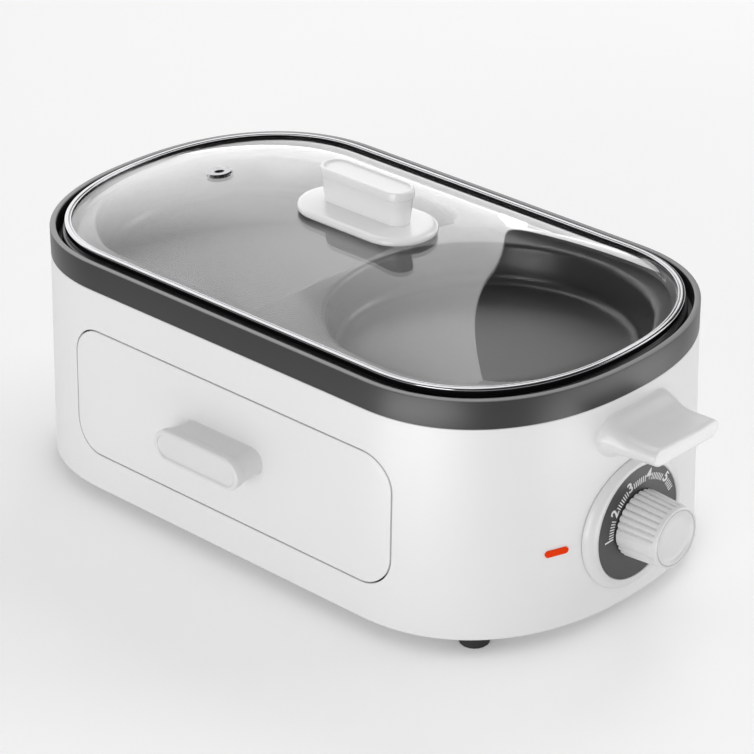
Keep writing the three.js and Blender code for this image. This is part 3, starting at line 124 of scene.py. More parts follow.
class Finish:
    """A material under construction. Each call of node adds one shader node."""

    def __init__(self, name):
        self.material = bpy.data.materials.new(name)
        self.material.use_nodes = True
        self.tree = self.material.node_tree
        self.tree.nodes.clear()

    def node(self, kind, settings=(), **sockets):
        """A node of that kind: settings are set first, then each socket gets its value or its link.
        A socket goes by its name with _ for each space, or by its number after an i."""
        node = self.tree.nodes.new("ShaderNode" + kind)
        for key, value in dict(settings).items():
            setattr(node, key, value)
        for key, value in sockets.items():
            numbered = key[0] == "i" and key[1:].isdigit()
            socket = node.inputs[int(key[1:]) if numbered else key.replace("_", " ")]
            value = getattr(value, "socket", value)
            if isinstance(value, bpy.types.NodeSocket):
                self.tree.links.new(value, socket)
            else:
                socket.default_value = value
        return node

    def level(self, kind, settings=(), output=0, **sockets):
        """A node's output as a Level, for sums."""
        return Level(self, self.node(kind, settings, **sockets).outputs[output])

    def noise(self, size, detail=2.0, stretch=(1, 1, 1)):
        """Noise from 0 to 1 over the piece, with grains of that size in metres, drawn out by a stretch."""
        place = self.node("TexCoord").outputs["Object"]
        place = self.node("Mapping", i0=place, Scale=stretch).outputs[0]
        return self.level("TexNoise", Vector=place, Scale=1 / size, Detail=detail)

    def blend(self, factor, first, second):
        """A colour between two, by a factor. Either can be a colour's own socket."""
        first, second = ((*colour, 1) if isinstance(colour, tuple) else colour for colour in (first, second))
        return self.node("Mix", {"data_type": "RGBA"}, i0=factor, i6=first, i7=second).outputs[2]

    def bump(self, height, distance, strength):
        """Surface normals from a height of up to that distance in metres."""
        return self.node("Bump", Height=height, Distance=distance, Strength=strength).outputs[0]

    def surface(self, **sockets):
        """Closes the material with a Principled shader."""
        shader = self.node("BsdfPrincipled", **sockets)
        self.node("OutputMaterial", Surface=shader.outputs[0])
        return self.material

    def satin(self, dark, light, grain, cloud, roughness, spread, relief, **sockets):
        """A satin surface: soft clouds between two colours, and a fine grain in roughness and relief."""
        grains = self.noise(grain)
        colour = self.blend(self.noise(cloud), dark, light)
        normal = self.bump(grains, relief, 0.5)
        varied = roughness + spread * grains
        return self.surface(Base_Color=colour, Roughness=varied, Normal=normal, **sockets)


class Level:
    """A number that varies over a surface. + and * on it, from either side, add a Math node."""

    def __init__(self, finish, socket):
        self.finish, self.socket = finish, socket

    def joined(self, operation, first, second):
        """The result of one Math node on two numbers or levels."""
        return self.finish.level("Math", {"operation": operation}, i0=first, i1=second)

    def __add__(self, other):
        return self.joined("ADD", self, other)

    def __radd__(self, other):
        return self.joined("ADD", other, self)

    def __mul__(self, other):
        return self.joined("MULTIPLY", self, other)

    def __rmul__(self, other):
        return self.joined("MULTIPLY", other, self)


sky_glow, sky_in_reflections = 0.61, 0.06
studio = bpy.data.worlds.new("studio")
studio.use_nodes = True
bpy.context.scene.world = studio
studio_nodes = studio.node_tree
sky = studio_nodes.nodes["Background"]
sky.inputs["Color"].default_value = (1, 1, 1, 1)
light_path = studio_nodes.nodes.new("ShaderNodeLightPath")
dimmer = studio_nodes.nodes.new("ShaderNodeMix")
dimmer.inputs[2].default_value = sky_glow
dimmer.inputs[3].default_value = sky_in_reflections
studio_nodes.links.new(light_path.outputs["Is Glossy Ray"], dimmer.inputs[0])
studio_nodes.links.new(dimmer.outputs[0], sky.inputs["Strength"])

floor_reach = 30
floor_paint = Finish("floor_paint")
floor_clouds = floor_paint.noise(0.6, detail=1.0)
floor_colour = floor_paint.blend(floor_clouds, (0.855, 0.855, 0.855), (0.87, 0.87, 0.87))
floor_mesh = bpy.data.meshes.new("studio_floor")
floor_corners = [(x * floor_reach, y * floor_reach, 0) for x, y in ((-1, -1), (1, -1), (1, 1), (-1, 1))]
floor_mesh.from_pydata(floor_corners, [], [(0, 1, 2, 3)])
floor_mesh.materials.append(floor_paint.surface(
    Base_Color=floor_colour, Roughness=0.9, Specular_IOR_Level=0.0,
    Emission_Color=(1, 1, 1, 1), Emission_Strength=0.175,
))
floor = bpy.data.objects.new("studio_floor", floor_mesh)
scene_objects.link(floor)

# Outer shell: one injection-moulded wall of satin white plastic, 2.4 mm thick, standing out towards the foot.
# The drawer's opening is cut through its front with its edges broken, and the bottom edge is rounded.
# Under the dial a square hole lets the knob's shaft through.

millimetre, weld = 0.001, 0.000001
half_length, half_width, end_round, end_power = 185.0, 109.0, 87.5, 2.25
shell_bottom, shell_top, shell_flare, shell_wall = 8.0, 127.2, 2.4, 2.4
straight_half = half_length - end_round
lower, upper = shell_bottom + 2.3, shell_top - 0.6
opening_middle = np.array([2.3, 66.675])
opening_half = np.array([115.9, 37.575])
opening_corner, edge_break = 18.9, 0.3
low_steps, open_steps, high_steps = 8, 10, 8
corner_steps, opening_steps, run_steps, end_steps, back_steps = 12, 24, 6, 90, 30
dial_height, dial_hole = 52.4, 22.0
mirrored = np.array([-1, 1, 1])


def body_ring(columns, inset, height):
    """Points in millimetres on the body's plan, drawn in by an inset, at a height. A column holds a place on
    the straight and the end's shares of x and y, and the end's reach shrinks with the inset."""
    inset, height = np.broadcast_arrays(np.asarray(inset, float), np.asarray(height, float))
    inset, height = inset[..., None], height[..., None]
    x = columns[:, 0] + (end_round - inset) * columns[:, 1]
    y = (half_width - inset) * columns[:, 2]
    return np.stack([x, y, np.broadcast_to(height, x.shape)], -1)


def flare_at(height):
    """How far the shell stands out at a height: straight from 2.4 mm at the foot to nothing at the top."""
    return np.clip(shell_flare * (shell_top - height) / (shell_top - shell_bottom), 0, None)


def front_depth(x, height, inset=0.0):
    """Depth of the front face at a place across and a height: half the width, and round the end the
    superellipse, where the shares of x and y, each to the power 2.25, add up to 1."""
    grow = flare_at(height) - inset
    over = np.clip(np.abs(x) - straight_half, 0, None) / (end_round + grow)
    return -(half_width + grow) * (1 - over.clip(0, 1) ** end_power) ** (1 / end_power)


def end_reach(y, height):
    """Reach of the rounded end's face at a place across and a height, by the same superellipse."""
    grow = flare_at(height)
    across = (np.abs(y) / (half_width + grow)).clip(0, 1)
    return straight_half + (end_round + grow) * (1 - across ** end_power) ** (1 / end_power)


def grid(points, round_rows=False, round_columns=False, skip=None):
    """A grid of points, rows by columns, as corners and quads.
    Rows and columns can each close on themselves, and the faces that skip marks are left out."""
    points = np.asarray(points, float)
    rows, columns = points.shape[:2]
    index = np.arange(rows * columns).reshape(rows, columns)
    if round_rows:
        index = np.concatenate([index, index[:1]])
    if round_columns:
        index = np.concatenate([index, index[:, :1]], 1)
    quads = np.stack([index[:-1, :-1], index[:-1, 1:], index[1:, 1:], index[1:, :-1]], -1)
    return points.reshape(-1, 3), quads.reshape(-1, 4) if skip is None else quads[~skip]


def piece(name, grids, finish, body, replaces=(), sharp=35.0):
    """A mesh from grids in millimetres, with its seams merged and its faces turned outwards, on a body.
    Edges that turn by more than the angle sharp, in degrees, stay crisp."""
    starts = np.cumsum([0] + [len(corners) for corners, _ in grids])
    corners = np.concatenate([corners for corners, _ in grids]) * millimetre
    corners[:, 1] += middle_y
    quads = np.concatenate([faces + start for (_, faces), start in zip(grids, starts)])
    mesh = bpy.data.meshes.new(name)
    mesh.from_pydata(corners.tolist(), [], quads.tolist())
    work = bmesh.new()
    work.from_mesh(mesh)
    bmesh.ops.remove_doubles(work, verts=work.verts, dist=weld)
    bmesh.ops.dissolve_degenerate(work, edges=work.edges, dist=weld / 2)
    bmesh.ops.recalc_face_normals(work, faces=work.faces)
    work.to_mesh(mesh)
    work.free()
    mesh.shade_smooth()
    mesh.set_sharp_from_angle(angle=np.radians(sharp))
    mesh.materials.append(finish)
    made = bpy.data.objects.new(name, mesh)
    scene_objects.link(made)
    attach(made, body)
    if replaces:
        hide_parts(*replaces)


def dress(finish, *names):
    """Gives CAD nodes that stay as they are a finish."""
    for name in names:
        for material_slot in frame["nodes"][name].material_slots:
            material_slot.material = finish


def opening_columns(middle, half, corner):
    """Places across a rounded rectangle, and its half height at each: round the corners by equal angles."""
    angle = np.linspace(0, np.pi / 2, corner_steps + 1)
    arc_x = half[0] - corner + corner * np.cos(angle)
    arc_rise = half[1] - corner + corner * np.sin(angle)
    inner = np.linspace(half[0] - corner, corner - half[0], opening_steps + 1)[1:-1]
    x = np.concatenate([arc_x, inner, -arc_x[::-1]])[::-1]
    return middle[0] + x, np.concatenate([arc_rise, 0 * inner + half[1], arc_rise[::-1]])


open_x, open_rise = opening_columns(opening_middle, opening_half + edge_break, opening_corner + edge_break)
side_x = straight_half + 40.0
left_run = np.linspace(-side_x, open_x[0], run_steps)[:-1]
right_run = np.linspace(open_x[-1], side_x, run_steps)[1:]
front_x = np.concatenate([left_run, open_x, right_run])
front_rise = np.concatenate([0 * left_run + open_rise[0], open_rise, 0 * right_run + open_rise[-1]])
first_open, last_open = len(left_run), len(left_run) + len(open_x) - 1


def front_rows(rise):
    """Heights up each column: from the bottom to the opening's lower edge, across it, and on to the top."""
    low, high = opening_middle[1] - rise, opening_middle[1] + rise
    return np.concatenate([
        np.linspace(0 * low + lower, low, low_steps + 1),
        np.linspace(low, high, open_steps + 1)[1:],
        np.linspace(high, 0 * high + upper, high_steps + 1)[1:],
    ])


def wall_grid(inset):
    """The wall's face drawn in by an inset. The front is a height field over places across and heights. Then
    come the right end by equal plan angles, the back's straight, and the left end, the right one mirrored."""
    heights = front_rows(front_rise)
    across = np.broadcast_to(front_x, heights.shape)
    front = np.stack([across, front_depth(across, heights, inset), heights], -1)
    height = front_rows(front_rise[:1])
    grow = flare_at(height) - inset
    share = ((side_x - straight_half) / (end_round + grow)) ** (end_power / 2)
    turn = -np.arctan2((1 - share ** 2) ** 0.5, share)
    angle = turn + (np.pi / 2 - turn) * np.linspace(0, 1, end_steps)
    end = np.stack([
        straight_half + (end_round + grow) * np.cos(angle).clip(0) ** (2 / end_power),
        (half_width + grow) * np.sign(angle) * np.abs(np.sin(angle)) ** (2 / end_power),
        height + 0 * angle,
    ], -1)
    run = np.linspace(straight_half, -straight_half, back_steps)[1:-1] + 0 * height
    back = np.stack([run, half_width + grow + 0 * run, height + 0 * run], -1)
    return np.concatenate([front, end[:, 1:], back, end[:, ::-1][:, :-1] * mirrored], 1)


def loop(face, low, high, left, right):
    """The points round a block of a grid: along its top, down its right, back along its bottom and up."""
    top, bottom = face[high, left:right + 1], face[low, left:right + 1][::-1]
    return np.concatenate([top, face[low + 1:high, right][::-1], bottom, face[low + 1:high, left]])


def rim_strip(rim, middle, half, corner, offsets, depths):
    """A profile carried round a rounded rectangle on the front: each row stands off the rim by an offset,
    away from the nearest corner's centre or square to a side, and lies back from the face by a depth."""
    flat = rim[:, [0, 2]]
    away = flat - middle
    push = away - np.clip(away, corner - half, half - corner)
    normal = push / np.maximum(np.linalg.norm(push, axis=-1, keepdims=True), 1e-9)
    places = flat + normal * np.asarray(offsets)[:, None, None]
    depth = front_depth(places[..., 0], places[..., 1], np.asarray(depths)[:, None])
    return np.stack([places[..., 0], depth, places[..., 1]], -1)


def wall_end(outer, inner, rise):
    """Rows that close the wall at its top or bottom, from the outer face across to the inner. Over half a
    turn the way across goes by the cosine, and the rise by the sine to the power 0.7, a flattened round."""
    turn = np.linspace(0, np.pi, 13)[:, None, None]
    path = outer + (inner - outer) * (1 - np.cos(turn)) / 2
    path[..., 2:] += rise * np.sin(turn) ** 0.7
    return path


outer_wall, inner_wall = wall_grid(0.0), wall_grid(shell_wall)
near_dial = (np.abs(outer_wall[..., 1:] - (0, dial_height)) < dial_hole).all(-1) & (outer_wall[..., 0] > 0)
dial_rows, dial_columns = np.nonzero(near_dial)
dial_block = (dial_rows.min(), dial_rows.max(), dial_columns.min(), dial_columns.max())
open_block = (low_steps, low_steps + open_steps, first_open, last_open)
wall_skip = np.zeros((outer_wall.shape[0] - 1, outer_wall.shape[1]), bool)
for low, high, left, right in (dial_block, open_block):
    wall_skip[low:high, left:right] = True
quarter = np.linspace(0, np.pi / 2, 5)
opening_strip = rim_strip(
    loop(outer_wall, *open_block), opening_middle, opening_half + edge_break, opening_corner + edge_break,
    [*(-edge_break * np.sin(quarter)), -edge_break, 0.0],
    [*(edge_break * (1 - np.cos(quarter))), shell_wall, shell_wall],
)

white_satin = Finish("satin_white_plastic").satin(
    (0.775, 0.775, 0.775), (0.80, 0.80, 0.80),
    grain=0.00035, cloud=0.06, roughness=0.40, spread=0.10, relief=0.00002,
)
piece(
    "outer_shell_wall",
    [
        grid(outer_wall, round_columns=True, skip=wall_skip),
        grid(inner_wall, round_columns=True, skip=wall_skip),
        grid(opening_strip, round_columns=True),
        grid([loop(outer_wall, *dial_block), loop(inner_wall, *dial_block)], round_columns=True),
        grid(wall_end(outer_wall[0], inner_wall[0], shell_bottom - lower), round_columns=True),
        grid(wall_end(outer_wall[-1], inner_wall[-1], shell_top - upper), round_columns=True),
    ],
    white_satin, "housing", ["outer_shell"],
)

# Base plate: a moulding of matt grey plastic with air slots, which closes the shell from below.
# Four plated screws hold it to the shell's bosses, and it stands on four black rubber feet.

grey_plastic = Finish("matt_grey_plastic").satin(
    (0.46, 0.46, 0.465), (0.53, 0.53, 0.535),
    grain=0.0006, cloud=0.05, roughness=0.46, spread=0.12, relief=0.00003,
)
sheet_finish = Finish("plain_sheet_steel")
rolling = sheet_finish.noise(0.002, detail=3.0, stretch=(0.05, 1, 1))
sheet_steel = sheet_finish.surface(
    Base_Color=sheet_finish.blend(rolling, (0.47, 0.47, 0.48), (0.60, 0.60, 0.61)),
    Metallic=1.0, Roughness=0.34 + 0.14 * rolling, Normal=sheet_finish.bump(rolling, 0.00002, 0.4),
)
plated_finish = Finish("plated_fastener_steel")
lathe = plated_finish.noise(0.0004)
plated_steel = plated_finish.surface(
    Base_Color=plated_finish.blend(lathe, (0.52, 0.52, 0.53), (0.62, 0.62, 0.63)),
    Metallic=1.0, Roughness=0.28 + 0.12 * lathe,
)
black_rubber = Finish("black_rubber").satin(
    (0.018, 0.018, 0.018), (0.03, 0.03, 0.03),
    grain=0.0008, cloud=0.01, roughness=0.60, spread=0.15, relief=0.00003,
)
dress(grey_plastic, "base_plate")
for corner_name in ("front_right", "back_right", "back_left", "front_left"):
    dress(plated_steel, "base_screw_" + corner_name)
    dress(black_rubber, "foot_" + corner_name)

# Rim band: a ring of satin graphite plastic that sits on the shell and plugs into it with a skirt.
# A ledge inside it carries the pan. Its top edges are broken, and its top is painted pale: a painted sheen
# for the light its top face catches.

band_top, sheen_paint_start, sheen_paint_full = 142.8, 0.1422, 0.1427


def curve(start, corner, end, steps):
    """Points on the quadratic curve that leaves start for the corner and turns there towards end."""
    share = np.linspace(0, 1, steps)[:, None]
    start, corner, end = map(np.asarray, (start, corner, end))
    return (1 - share) ** 2 * start + 2 * share * (1 - share) * corner + share ** 2 * end


def fillet(corners, radii, steps=4, closed=True):
    """A section's corners rounded: each becomes points on the quadratic curve that touches both of its
    sides, as far from the corner as an arc of that radius does."""
    corners = np.asarray(corners, float)
    count = len(corners)
    path = []
    for i, radius in enumerate(np.broadcast_to(radii, count)):
        here = corners[i]
        if radius == 0 or (not closed and i in (0, count - 1)):
            path.append(here[None])
            continue
        before, after = corners[i - 1] - here, corners[(i + 1) % count] - here
        long_before, long_after = np.linalg.norm(before), np.linalg.norm(after)
        before, after = before / long_before, after / long_after
        half_angle = np.arccos(np.clip(before @ after, -1, 1)) / 2
        reach = min(radius / max(np.tan(half_angle), 1e-6), 0.49 * long_before, 0.49 * long_after)
        path.append(curve(here + before * reach, here, here + after * reach, steps + 1))
    return np.concatenate(path)


def half_columns(side, from_x):
    """Columns round one end of the body's plan, from a place on the front's straight to the same place at
    the back. Round the end the shares are the angle's cosine and sine to the power 2 / 2.25, which gives
    the superellipse."""
    run = np.linspace(from_x, side * straight_half, 24)[:-1]
    front = np.stack([run, 0 * run, 0 * run - 1], 1)
    angle = np.linspace(-np.pi / 2, np.pi / 2, 121)
    share_x = np.cos(angle).clip(0) ** (2 / end_power)
    share_y = np.sign(angle) * np.abs(np.sin(angle)) ** (2 / end_power)
    end = np.stack([0 * angle + side * straight_half, side * share_x, share_y], 1)
    return np.concatenate([front, end, front[::-1] * (1, 1, -1)])


def plan_columns(from_x=0.0):
    """Columns all round the body's plan: the right half forwards, then the left half backwards."""
    return np.concatenate([half_columns(1, from_x), half_columns(-1, from_x)[::-1][1:-1]])


columns = plan_columns()
graphite = Finish("satin_graphite_plastic")
graphite_grain = graphite.noise(0.0004)
# Painted sheen: from 142.2 mm up, the band's colour turns pale. This stands in for light caught by its top
# face.
graphite_place = graphite.node("TexCoord").outputs["Object"]
graphite_height = graphite.level("SeparateXYZ", output=2, Vector=graphite_place)
painted_sheen_top = graphite.level("MapRange", i0=graphite_height, i1=sheen_paint_start, i2=sheen_paint_full)
graphite_body = graphite.blend(graphite.noise(0.05), (0.013, 0.013, 0.0135), (0.018, 0.018, 0.0185))
graphite_satin = graphite.surface(
    Base_Color=graphite.blend(painted_sheen_top, graphite_body, (0.22, 0.22, 0.22)),
    Roughness=0.34 + 0.08 * graphite_grain, Normal=graphite.bump(graphite_grain, 0.00001, 0.5),
)
band_section = fillet(
    [
        (0, shell_top), (0, band_top), (3.4, band_top), (3.4, 132.3), (8.6, 132.3), (8.6, 129.9),
        (4.5, 129.9), (4.5, 119.2), (2.7, 119.2), (2.7, shell_top),
    ],
    [0.3, 0.8, 0.8, 0.4, 0.5, 0.4, 0.4, 0.4, 0.4, 0.2],
)
piece(
    "rim_band_ring",
    [grid(body_ring(columns, band_section[:, 0], band_section[:, 1]), round_rows=True, round_columns=True)],
    graphite_satin, "housing", ["rim_band"],
)

# Double pan: one die-cast aluminium pan, a round well on the right and a D-shaped one on the left.
# It has a dark satin non-stick coat all over, and its folded lip hangs in the rim band.

well_x, well_reach, well_floor, deck_top, dividing_x = 86.5, 87.0, 114.6, 136.0, -1.35
floor_under, deck_under, deck_inset, lip_foot_inset, floor_inset = 111.8, 133.4, 14.6, 8.4, 12.2


def well_outline(bearing, inset, flat):
    """Distance from a well's middle to its wall by bearing: a circle, or for the flat well a D with two round
    corners. Half of the D is a dense outline of flat, corner, straight and round, used for both halves."""
    reach = well_reach - inset
    if not flat:
        return np.full(bearing.shape, reach)
    corner, corner_x, corner_y = 16.0 - inset, 68.3, 71.0
    turn = np.linspace(0, np.pi / 2, 30)
    side = np.linspace(corner_x, 0, 40)
    round_side = np.linspace(np.pi / 2, np.pi, 80)
    upper_half = np.concatenate([
        np.stack([np.full(60, corner_x + corner), np.linspace(0, corner_y, 60)]),
        np.stack([corner_x + corner * np.cos(turn), corner_y + corner * np.sin(turn)]),
        np.stack([side, 0 * side + reach]),
        reach * np.stack([np.cos(round_side), np.sin(round_side)]),
    ], 1)
    return np.interp(np.abs(bearing), np.arctan2(upper_half[1], upper_half[0]), np.hypot(*upper_half))


def half_pan(side, profile, edge_inset):
    """One half of a pan face, well and deck. A row of the profile is a kind, a value and a height.
    A floor row lies at a share of the floor's outline, a well row at an inset of the wall, and a deck row at
    a share of the way from the wall's mouth to the half's edge. Every column keeps one bearing from the
    well's middle."""
    line = np.linspace(1, -1, 44)[1:-1]
    dividing_line = np.stack([0 * line + dividing_x, 0 * line, line], 1)
    shape = np.concatenate([half_columns(side, dividing_x), dividing_line])
    edge = body_ring(shape, edge_inset, 0.0)[..., :2]
    middle = np.array([side * well_x, 0.0])
    away = edge - middle
    bearing = np.arctan2(away[:, 1], away[:, 0])
    ray = np.stack([np.cos(bearing), np.sin(bearing)], 1)
    rows = []
    for kind, value, height in profile:
        inset = {"floor": floor_inset, "well": value, "deck": 0.0}[kind]
        wall = middle + ray * well_outline(bearing, inset, side < 0)[:, None]
        if kind == "floor":
            wall = middle + (wall - middle) * value
        if kind == "deck":
            wall = wall + (edge - wall) * value
        rows.append(np.column_stack([wall, np.full(len(wall), height)]))
    return np.array(rows)


top_profile = [
    *(("floor", share, well_floor) for share in (0.0, 0.25, 0.5, 0.75, 0.95)),
    *(
        ("well", inset, z)
        for inset, z in curve((floor_inset, well_floor), (6.6, well_floor), (6.2, 120.4), 9)
    ),
    *(("well", inset, z) for inset, z in np.linspace((6.0, 122.0), (3.4, 132.0), 4)),
    *(("well", inset, z) for inset, z in curve((3.2, 132.8), (2.6, deck_top), (0.0, deck_top), 8)),
    *(("deck", share, deck_top) for share in (0.3, 0.65, 1.0)),
]
under_profile = [
    *(("floor", share, floor_under) for share in (0.0, 0.5, 0.9)),
    *(("well", inset, z) for inset, z in curve((11.0, floor_under), (4.4, floor_under), (3.6, 118.8), 7)),
    *(("well", inset, z) for inset, z in np.linspace((3.4, 120.0), (0.4, 132.4), 3)),
    ("well", 0.0, deck_under), ("deck", 0.5, deck_under), ("deck", 1.0, deck_under),
]
lip_section = fillet(
    [
        (deck_inset, deck_top), (11.2, 139.6), (6.2, 139.6), (6.2, 132.6),
        (lip_foot_inset, 132.6), (lip_foot_inset, deck_under),
    ],
    [0, 1.6, 1.4, 0.6, 0.5, 0], closed=False, steps=5,
)
non_stick_coat = Finish("satin_non_stick_coat").satin(
    (0.028, 0.028, 0.0285), (0.034, 0.034, 0.0345),
    grain=0.00025, cloud=0.05, roughness=0.28, spread=0.06, relief=0.000001, Specular_IOR_Level=0.8,
)
piece(
    "double_pan_coated",
    [
        grid(half_pan(1, top_profile, deck_inset), round_columns=True),
        grid(half_pan(-1, top_profile, deck_inset), round_columns=True),
        grid(half_pan(1, under_profile, lip_foot_inset), round_columns=True),
        grid(half_pan(-1, under_profile, lip_foot_inset), round_columns=True),
        grid(body_ring(plan_columns(dividing_x), lip_section[:, 0], lip_section[:, 1]), round_columns=True),
    ],
    non_stick_coat, "pan", ["double_pan"],
)

# Lid rim: a bead of polished stainless steel rolled round the edge of the glass, on a thin leg that rests in
# the pan. The steam vent is a grommet of darker polished steel, pressed through the glass.

polish_finish = Finish("polished_stainless_steel")
polish_line = polish_finish.noise(0.02, detail=3.0)
polished_steel = polish_finish.surface(
    Base_Color=polish_finish.blend(polish_line, (0.42, 0.42, 0.43), (0.48, 0.48, 0.49)),
    Metallic=1.0, Roughness=0.10 + 0.05 * polish_line,
)
rim_section = fillet(
    [
        (9.2, 139.9), (8.3, 139.9), (8.3, 141.1), (7.8, 141.5), (7.8, 145.3), (10.1, 145.3), (10.4, 144.7),
        (10.7, 145.1), (11.5, 145.1), (11.5, 144.5), (9.2, 144.4),
    ],
    [0.1, 0.2, 0.2, 0.7, 1.5, 0.9, 0.1, 0.2, 0.5, 0.2, 0.2], steps=8,
)
piece(
    "lid_rim_rolled",
    [grid(body_ring(columns, rim_section[:, 0], rim_section[:, 1]), round_rows=True, round_columns=True)],
    polished_steel, "lid", ["lid_rim"],
)
vent_finish = Finish("darker_polished_steel")
vent_line = vent_finish.noise(0.004)
dress(vent_finish.surface(
    Base_Color=vent_finish.blend(vent_line, (0.22, 0.22, 0.225), (0.27, 0.27, 0.275)),
    Metallic=1.0, Roughness=0.14 + 0.06 * vent_line,
), "steam_vent")

# Lid glass: one pane of 3.4 mm toughened glass, sagged in a mould to a shallow dome with a flat edge, which
# the rolled rim grips. Its shadow is a plain tint, so that the pan under it stays lit.

dome_inset, dome_rise, dome_power, dome_top, glass_thickness = 14.2, 18.7, 2.44, 163.0, 3.4
glass_edge, edge_top, edge_bottom = 9.3, 144.3, 140.9


def dome_rows(shares, drop):
    """Rings of the dome: the plan scaled by a share of the way out, where the height falls by 18.7 mm times
    the share to the power 2.44."""
    heights = dome_top - drop - dome_rise * shares ** dome_power
    rings = body_ring(columns, np.full(shares.shape, dome_inset), heights)
    rings[..., :2] *= shares[:, None, None]
    return rings


dome_shares = np.linspace(0, 1, 41) ** 0.8
edge_section = fillet(
    [(dome_inset, edge_top), (glass_edge, edge_top), (glass_edge, edge_bottom), (dome_inset, edge_bottom)],
    [0, 0.8, 0.8, 0], closed=False, steps=5,
)
glass_rows = np.concatenate([
    dome_rows(dome_shares, 0.0),
    body_ring(columns, edge_section[1:-1, 0], edge_section[1:-1, 1]),
    dome_rows(dome_shares[::-1], glass_thickness),
])
glass = Finish("clear_toughened_glass")
tint = glass.blend(glass.noise(0.05, detail=1.0), (0.975, 0.975, 0.975), (0.99, 0.99, 0.99))
clear = glass.node("BsdfPrincipled", Base_Color=tint, Roughness=0.0, IOR=1.47, Transmission_Weight=1.0)
open_to_lamps = glass.node("BsdfTransparent", Color=(0.94, 0.94, 0.94, 1))
shadow_ray = glass.node("LightPath").outputs["Is Shadow Ray"]
both = glass.node("MixShader", i0=shadow_ray, i1=clear.outputs[0], i2=open_to_lamps.outputs[0])
glass.node("OutputMaterial", Surface=both.outputs[0])
piece(
    "lid_glass_dome", [grid(glass_rows, round_columns=True)],
    glass.material, "lid", ["lid_glass"],
)

# Lid handle: a grip moulded in glossy white plastic, narrow at the foot, with a thick band round its dished
# end. It stands on an oval plate like a cushion, and two screws through a rubber pad below hold both.

grip_width, grip_thickness, grip_length, grip_base = 61.6, 18.4, 19.6, 168.5
plate_width, plate_depth = 86.8, 43.4


def oval_ring(width, thickness, inset):
    """A stadium of that width and thickness drawn in by an inset: two half rounds joined by straights."""
    angle = np.linspace(-np.pi / 2, np.pi / 2, 33)
    radius = thickness / 2 - inset
    side = np.stack([width / 2 - thickness / 2 + radius * np.cos(angle), radius * np.sin(angle)], 1)
    return np.concatenate([side, -side])


def oval_rows(path, width, thickness):
    """A path of insets and heights carried round a stadium."""
    rings = [(oval_ring(width, thickness, inset), z) for inset, z in path]
    return np.array([np.column_stack([ring, np.full(len(ring), z)]) for ring, z in rings])


def grip_rows(length, flare=0.0):
    """Rings of a grip from its foot to its dished end. The neck is drawn in by 2.4 mm at the foot and by
    0.6 mm at the band, straight between, less a flare that dies away as exp(-height / 1.6) from the foot."""
    foot, band_foot, axis_inset = -0.28, length - 5.2, grip_thickness / 2
    heights = np.linspace(foot, band_foot, 14)
    neck = [(0.6 + 1.8 * (1 - z / band_foot) - flare * np.exp(-z / 1.6), z) for z in heights]
    turn = np.linspace(0, np.pi / 2, 7)
    band = [
        (0.3, length - 5.0), (0.08, length - 4.8), (0.0, length - 4.5), (0.0, length - 2.4),
        *zip(1.1 - 1.1 * np.cos(turn), length - 1.1 + 1.1 * np.sin(turn)),
        *zip(1.7 + 0.5 * np.sin(turn[1:]), length - 0.5 + 0.5 * np.cos(turn[1:])),
        (2.5, length - 0.9), (3.0, length - 1.12), (3.8, length - 1.2), (axis_inset, length - 1.2),
    ]
    return oval_rows([(axis_inset, foot), *neck, *band], grip_width, grip_thickness)


white_gloss = Finish("glossy_white_plastic").satin(
    (0.83, 0.83, 0.83), (0.86, 0.86, 0.86),
    grain=0.0006, cloud=0.03, roughness=0.20, spread=0.06, relief=0.000005, Coat_Weight=0.3,
)
piece(
    "lid_handle_grip_dished", [grid(grip_rows(grip_length) + (0, 0, grip_base), round_columns=True)],
    white_gloss, "lid", ["lid_handle_grip"],
)
edge_turn = np.linspace(0, np.pi / 2, 9)[1:]
plate_path = [
    (plate_depth / 2, 163.4), (0.9, 163.4),
    *zip(0.9 * (1 - np.sin(edge_turn)), 165.0 - 1.6 * np.cos(edge_turn)),
    *zip(3.0 * (1 - np.cos(edge_turn)), 165.0 + 2.7 * np.sin(edge_turn)),
    (4.5, 167.9), (7.0, 168.05), (11.0, 168.15), (15.0, 168.2), (plate_depth / 2, 168.2),
]
piece(
    "lid_handle_plate", [grid(oval_rows(plate_path, plate_width, plate_depth), round_columns=True)],
    white_gloss, "lid", ["lid_handle_base"],
)
dress(black_rubber, "lid_handle_pad")
dress(plated_steel, "lid_handle_screw_left", "lid_handle_screw_right")

# Drawer front: a satin white moulding that fills the opening with a seam of 0.9 mm, and follows the shell's
# face. A steel plate, an open frame, a tray and a wire rack slide with it on two runners in the oven box.

panel_half, panel_corner, panel_skin = np.array([115.0, 36.675]) - edge_break, 18.0 - edge_break, 2.4
panel_x, panel_rise = opening_columns(opening_middle, panel_half, panel_corner)
panel_heights = opening_middle[1] + np.linspace(-1, 1, open_steps + 1)[:, None] * panel_rise
panel_across = np.broadcast_to(panel_x, panel_heights.shape)


def panel_face(inset):
    """The drawer's face as a height field on the shell's own form, drawn in by an inset."""
    return np.stack([panel_across, front_depth(panel_across, panel_heights, inset), panel_heights], -1)


panel_strip = rim_strip(
    loop(panel_face(0.0), 0, open_steps, 0, len(panel_x) - 1), opening_middle, panel_half, panel_corner,
    [*(edge_break * np.sin(quarter)), edge_break, 0.0],
    [*(edge_break * (1 - np.cos(quarter))), panel_skin, panel_skin],
)
piece(
    "drawer_front_panel",
    [grid(panel_face(0.0)), grid(panel_face(panel_skin)), grid(panel_strip, round_columns=True)],
    white_satin, "drawer", ["drawer_front"],
)
dress(sheet_steel, "drawer_inner_plate", "drawer_frame", "drawer_tray", "runner_left", "runner_right")
dress(plated_steel, "drawer_screw_left", "drawer_screw_right")
dress(polished_steel, "wire_rack")

# Drawer handle: the same grip turned to the front, moulded in pale grey plastic, with a short flare where it
# meets the drawer. Two screws from inside the drawer hold it.

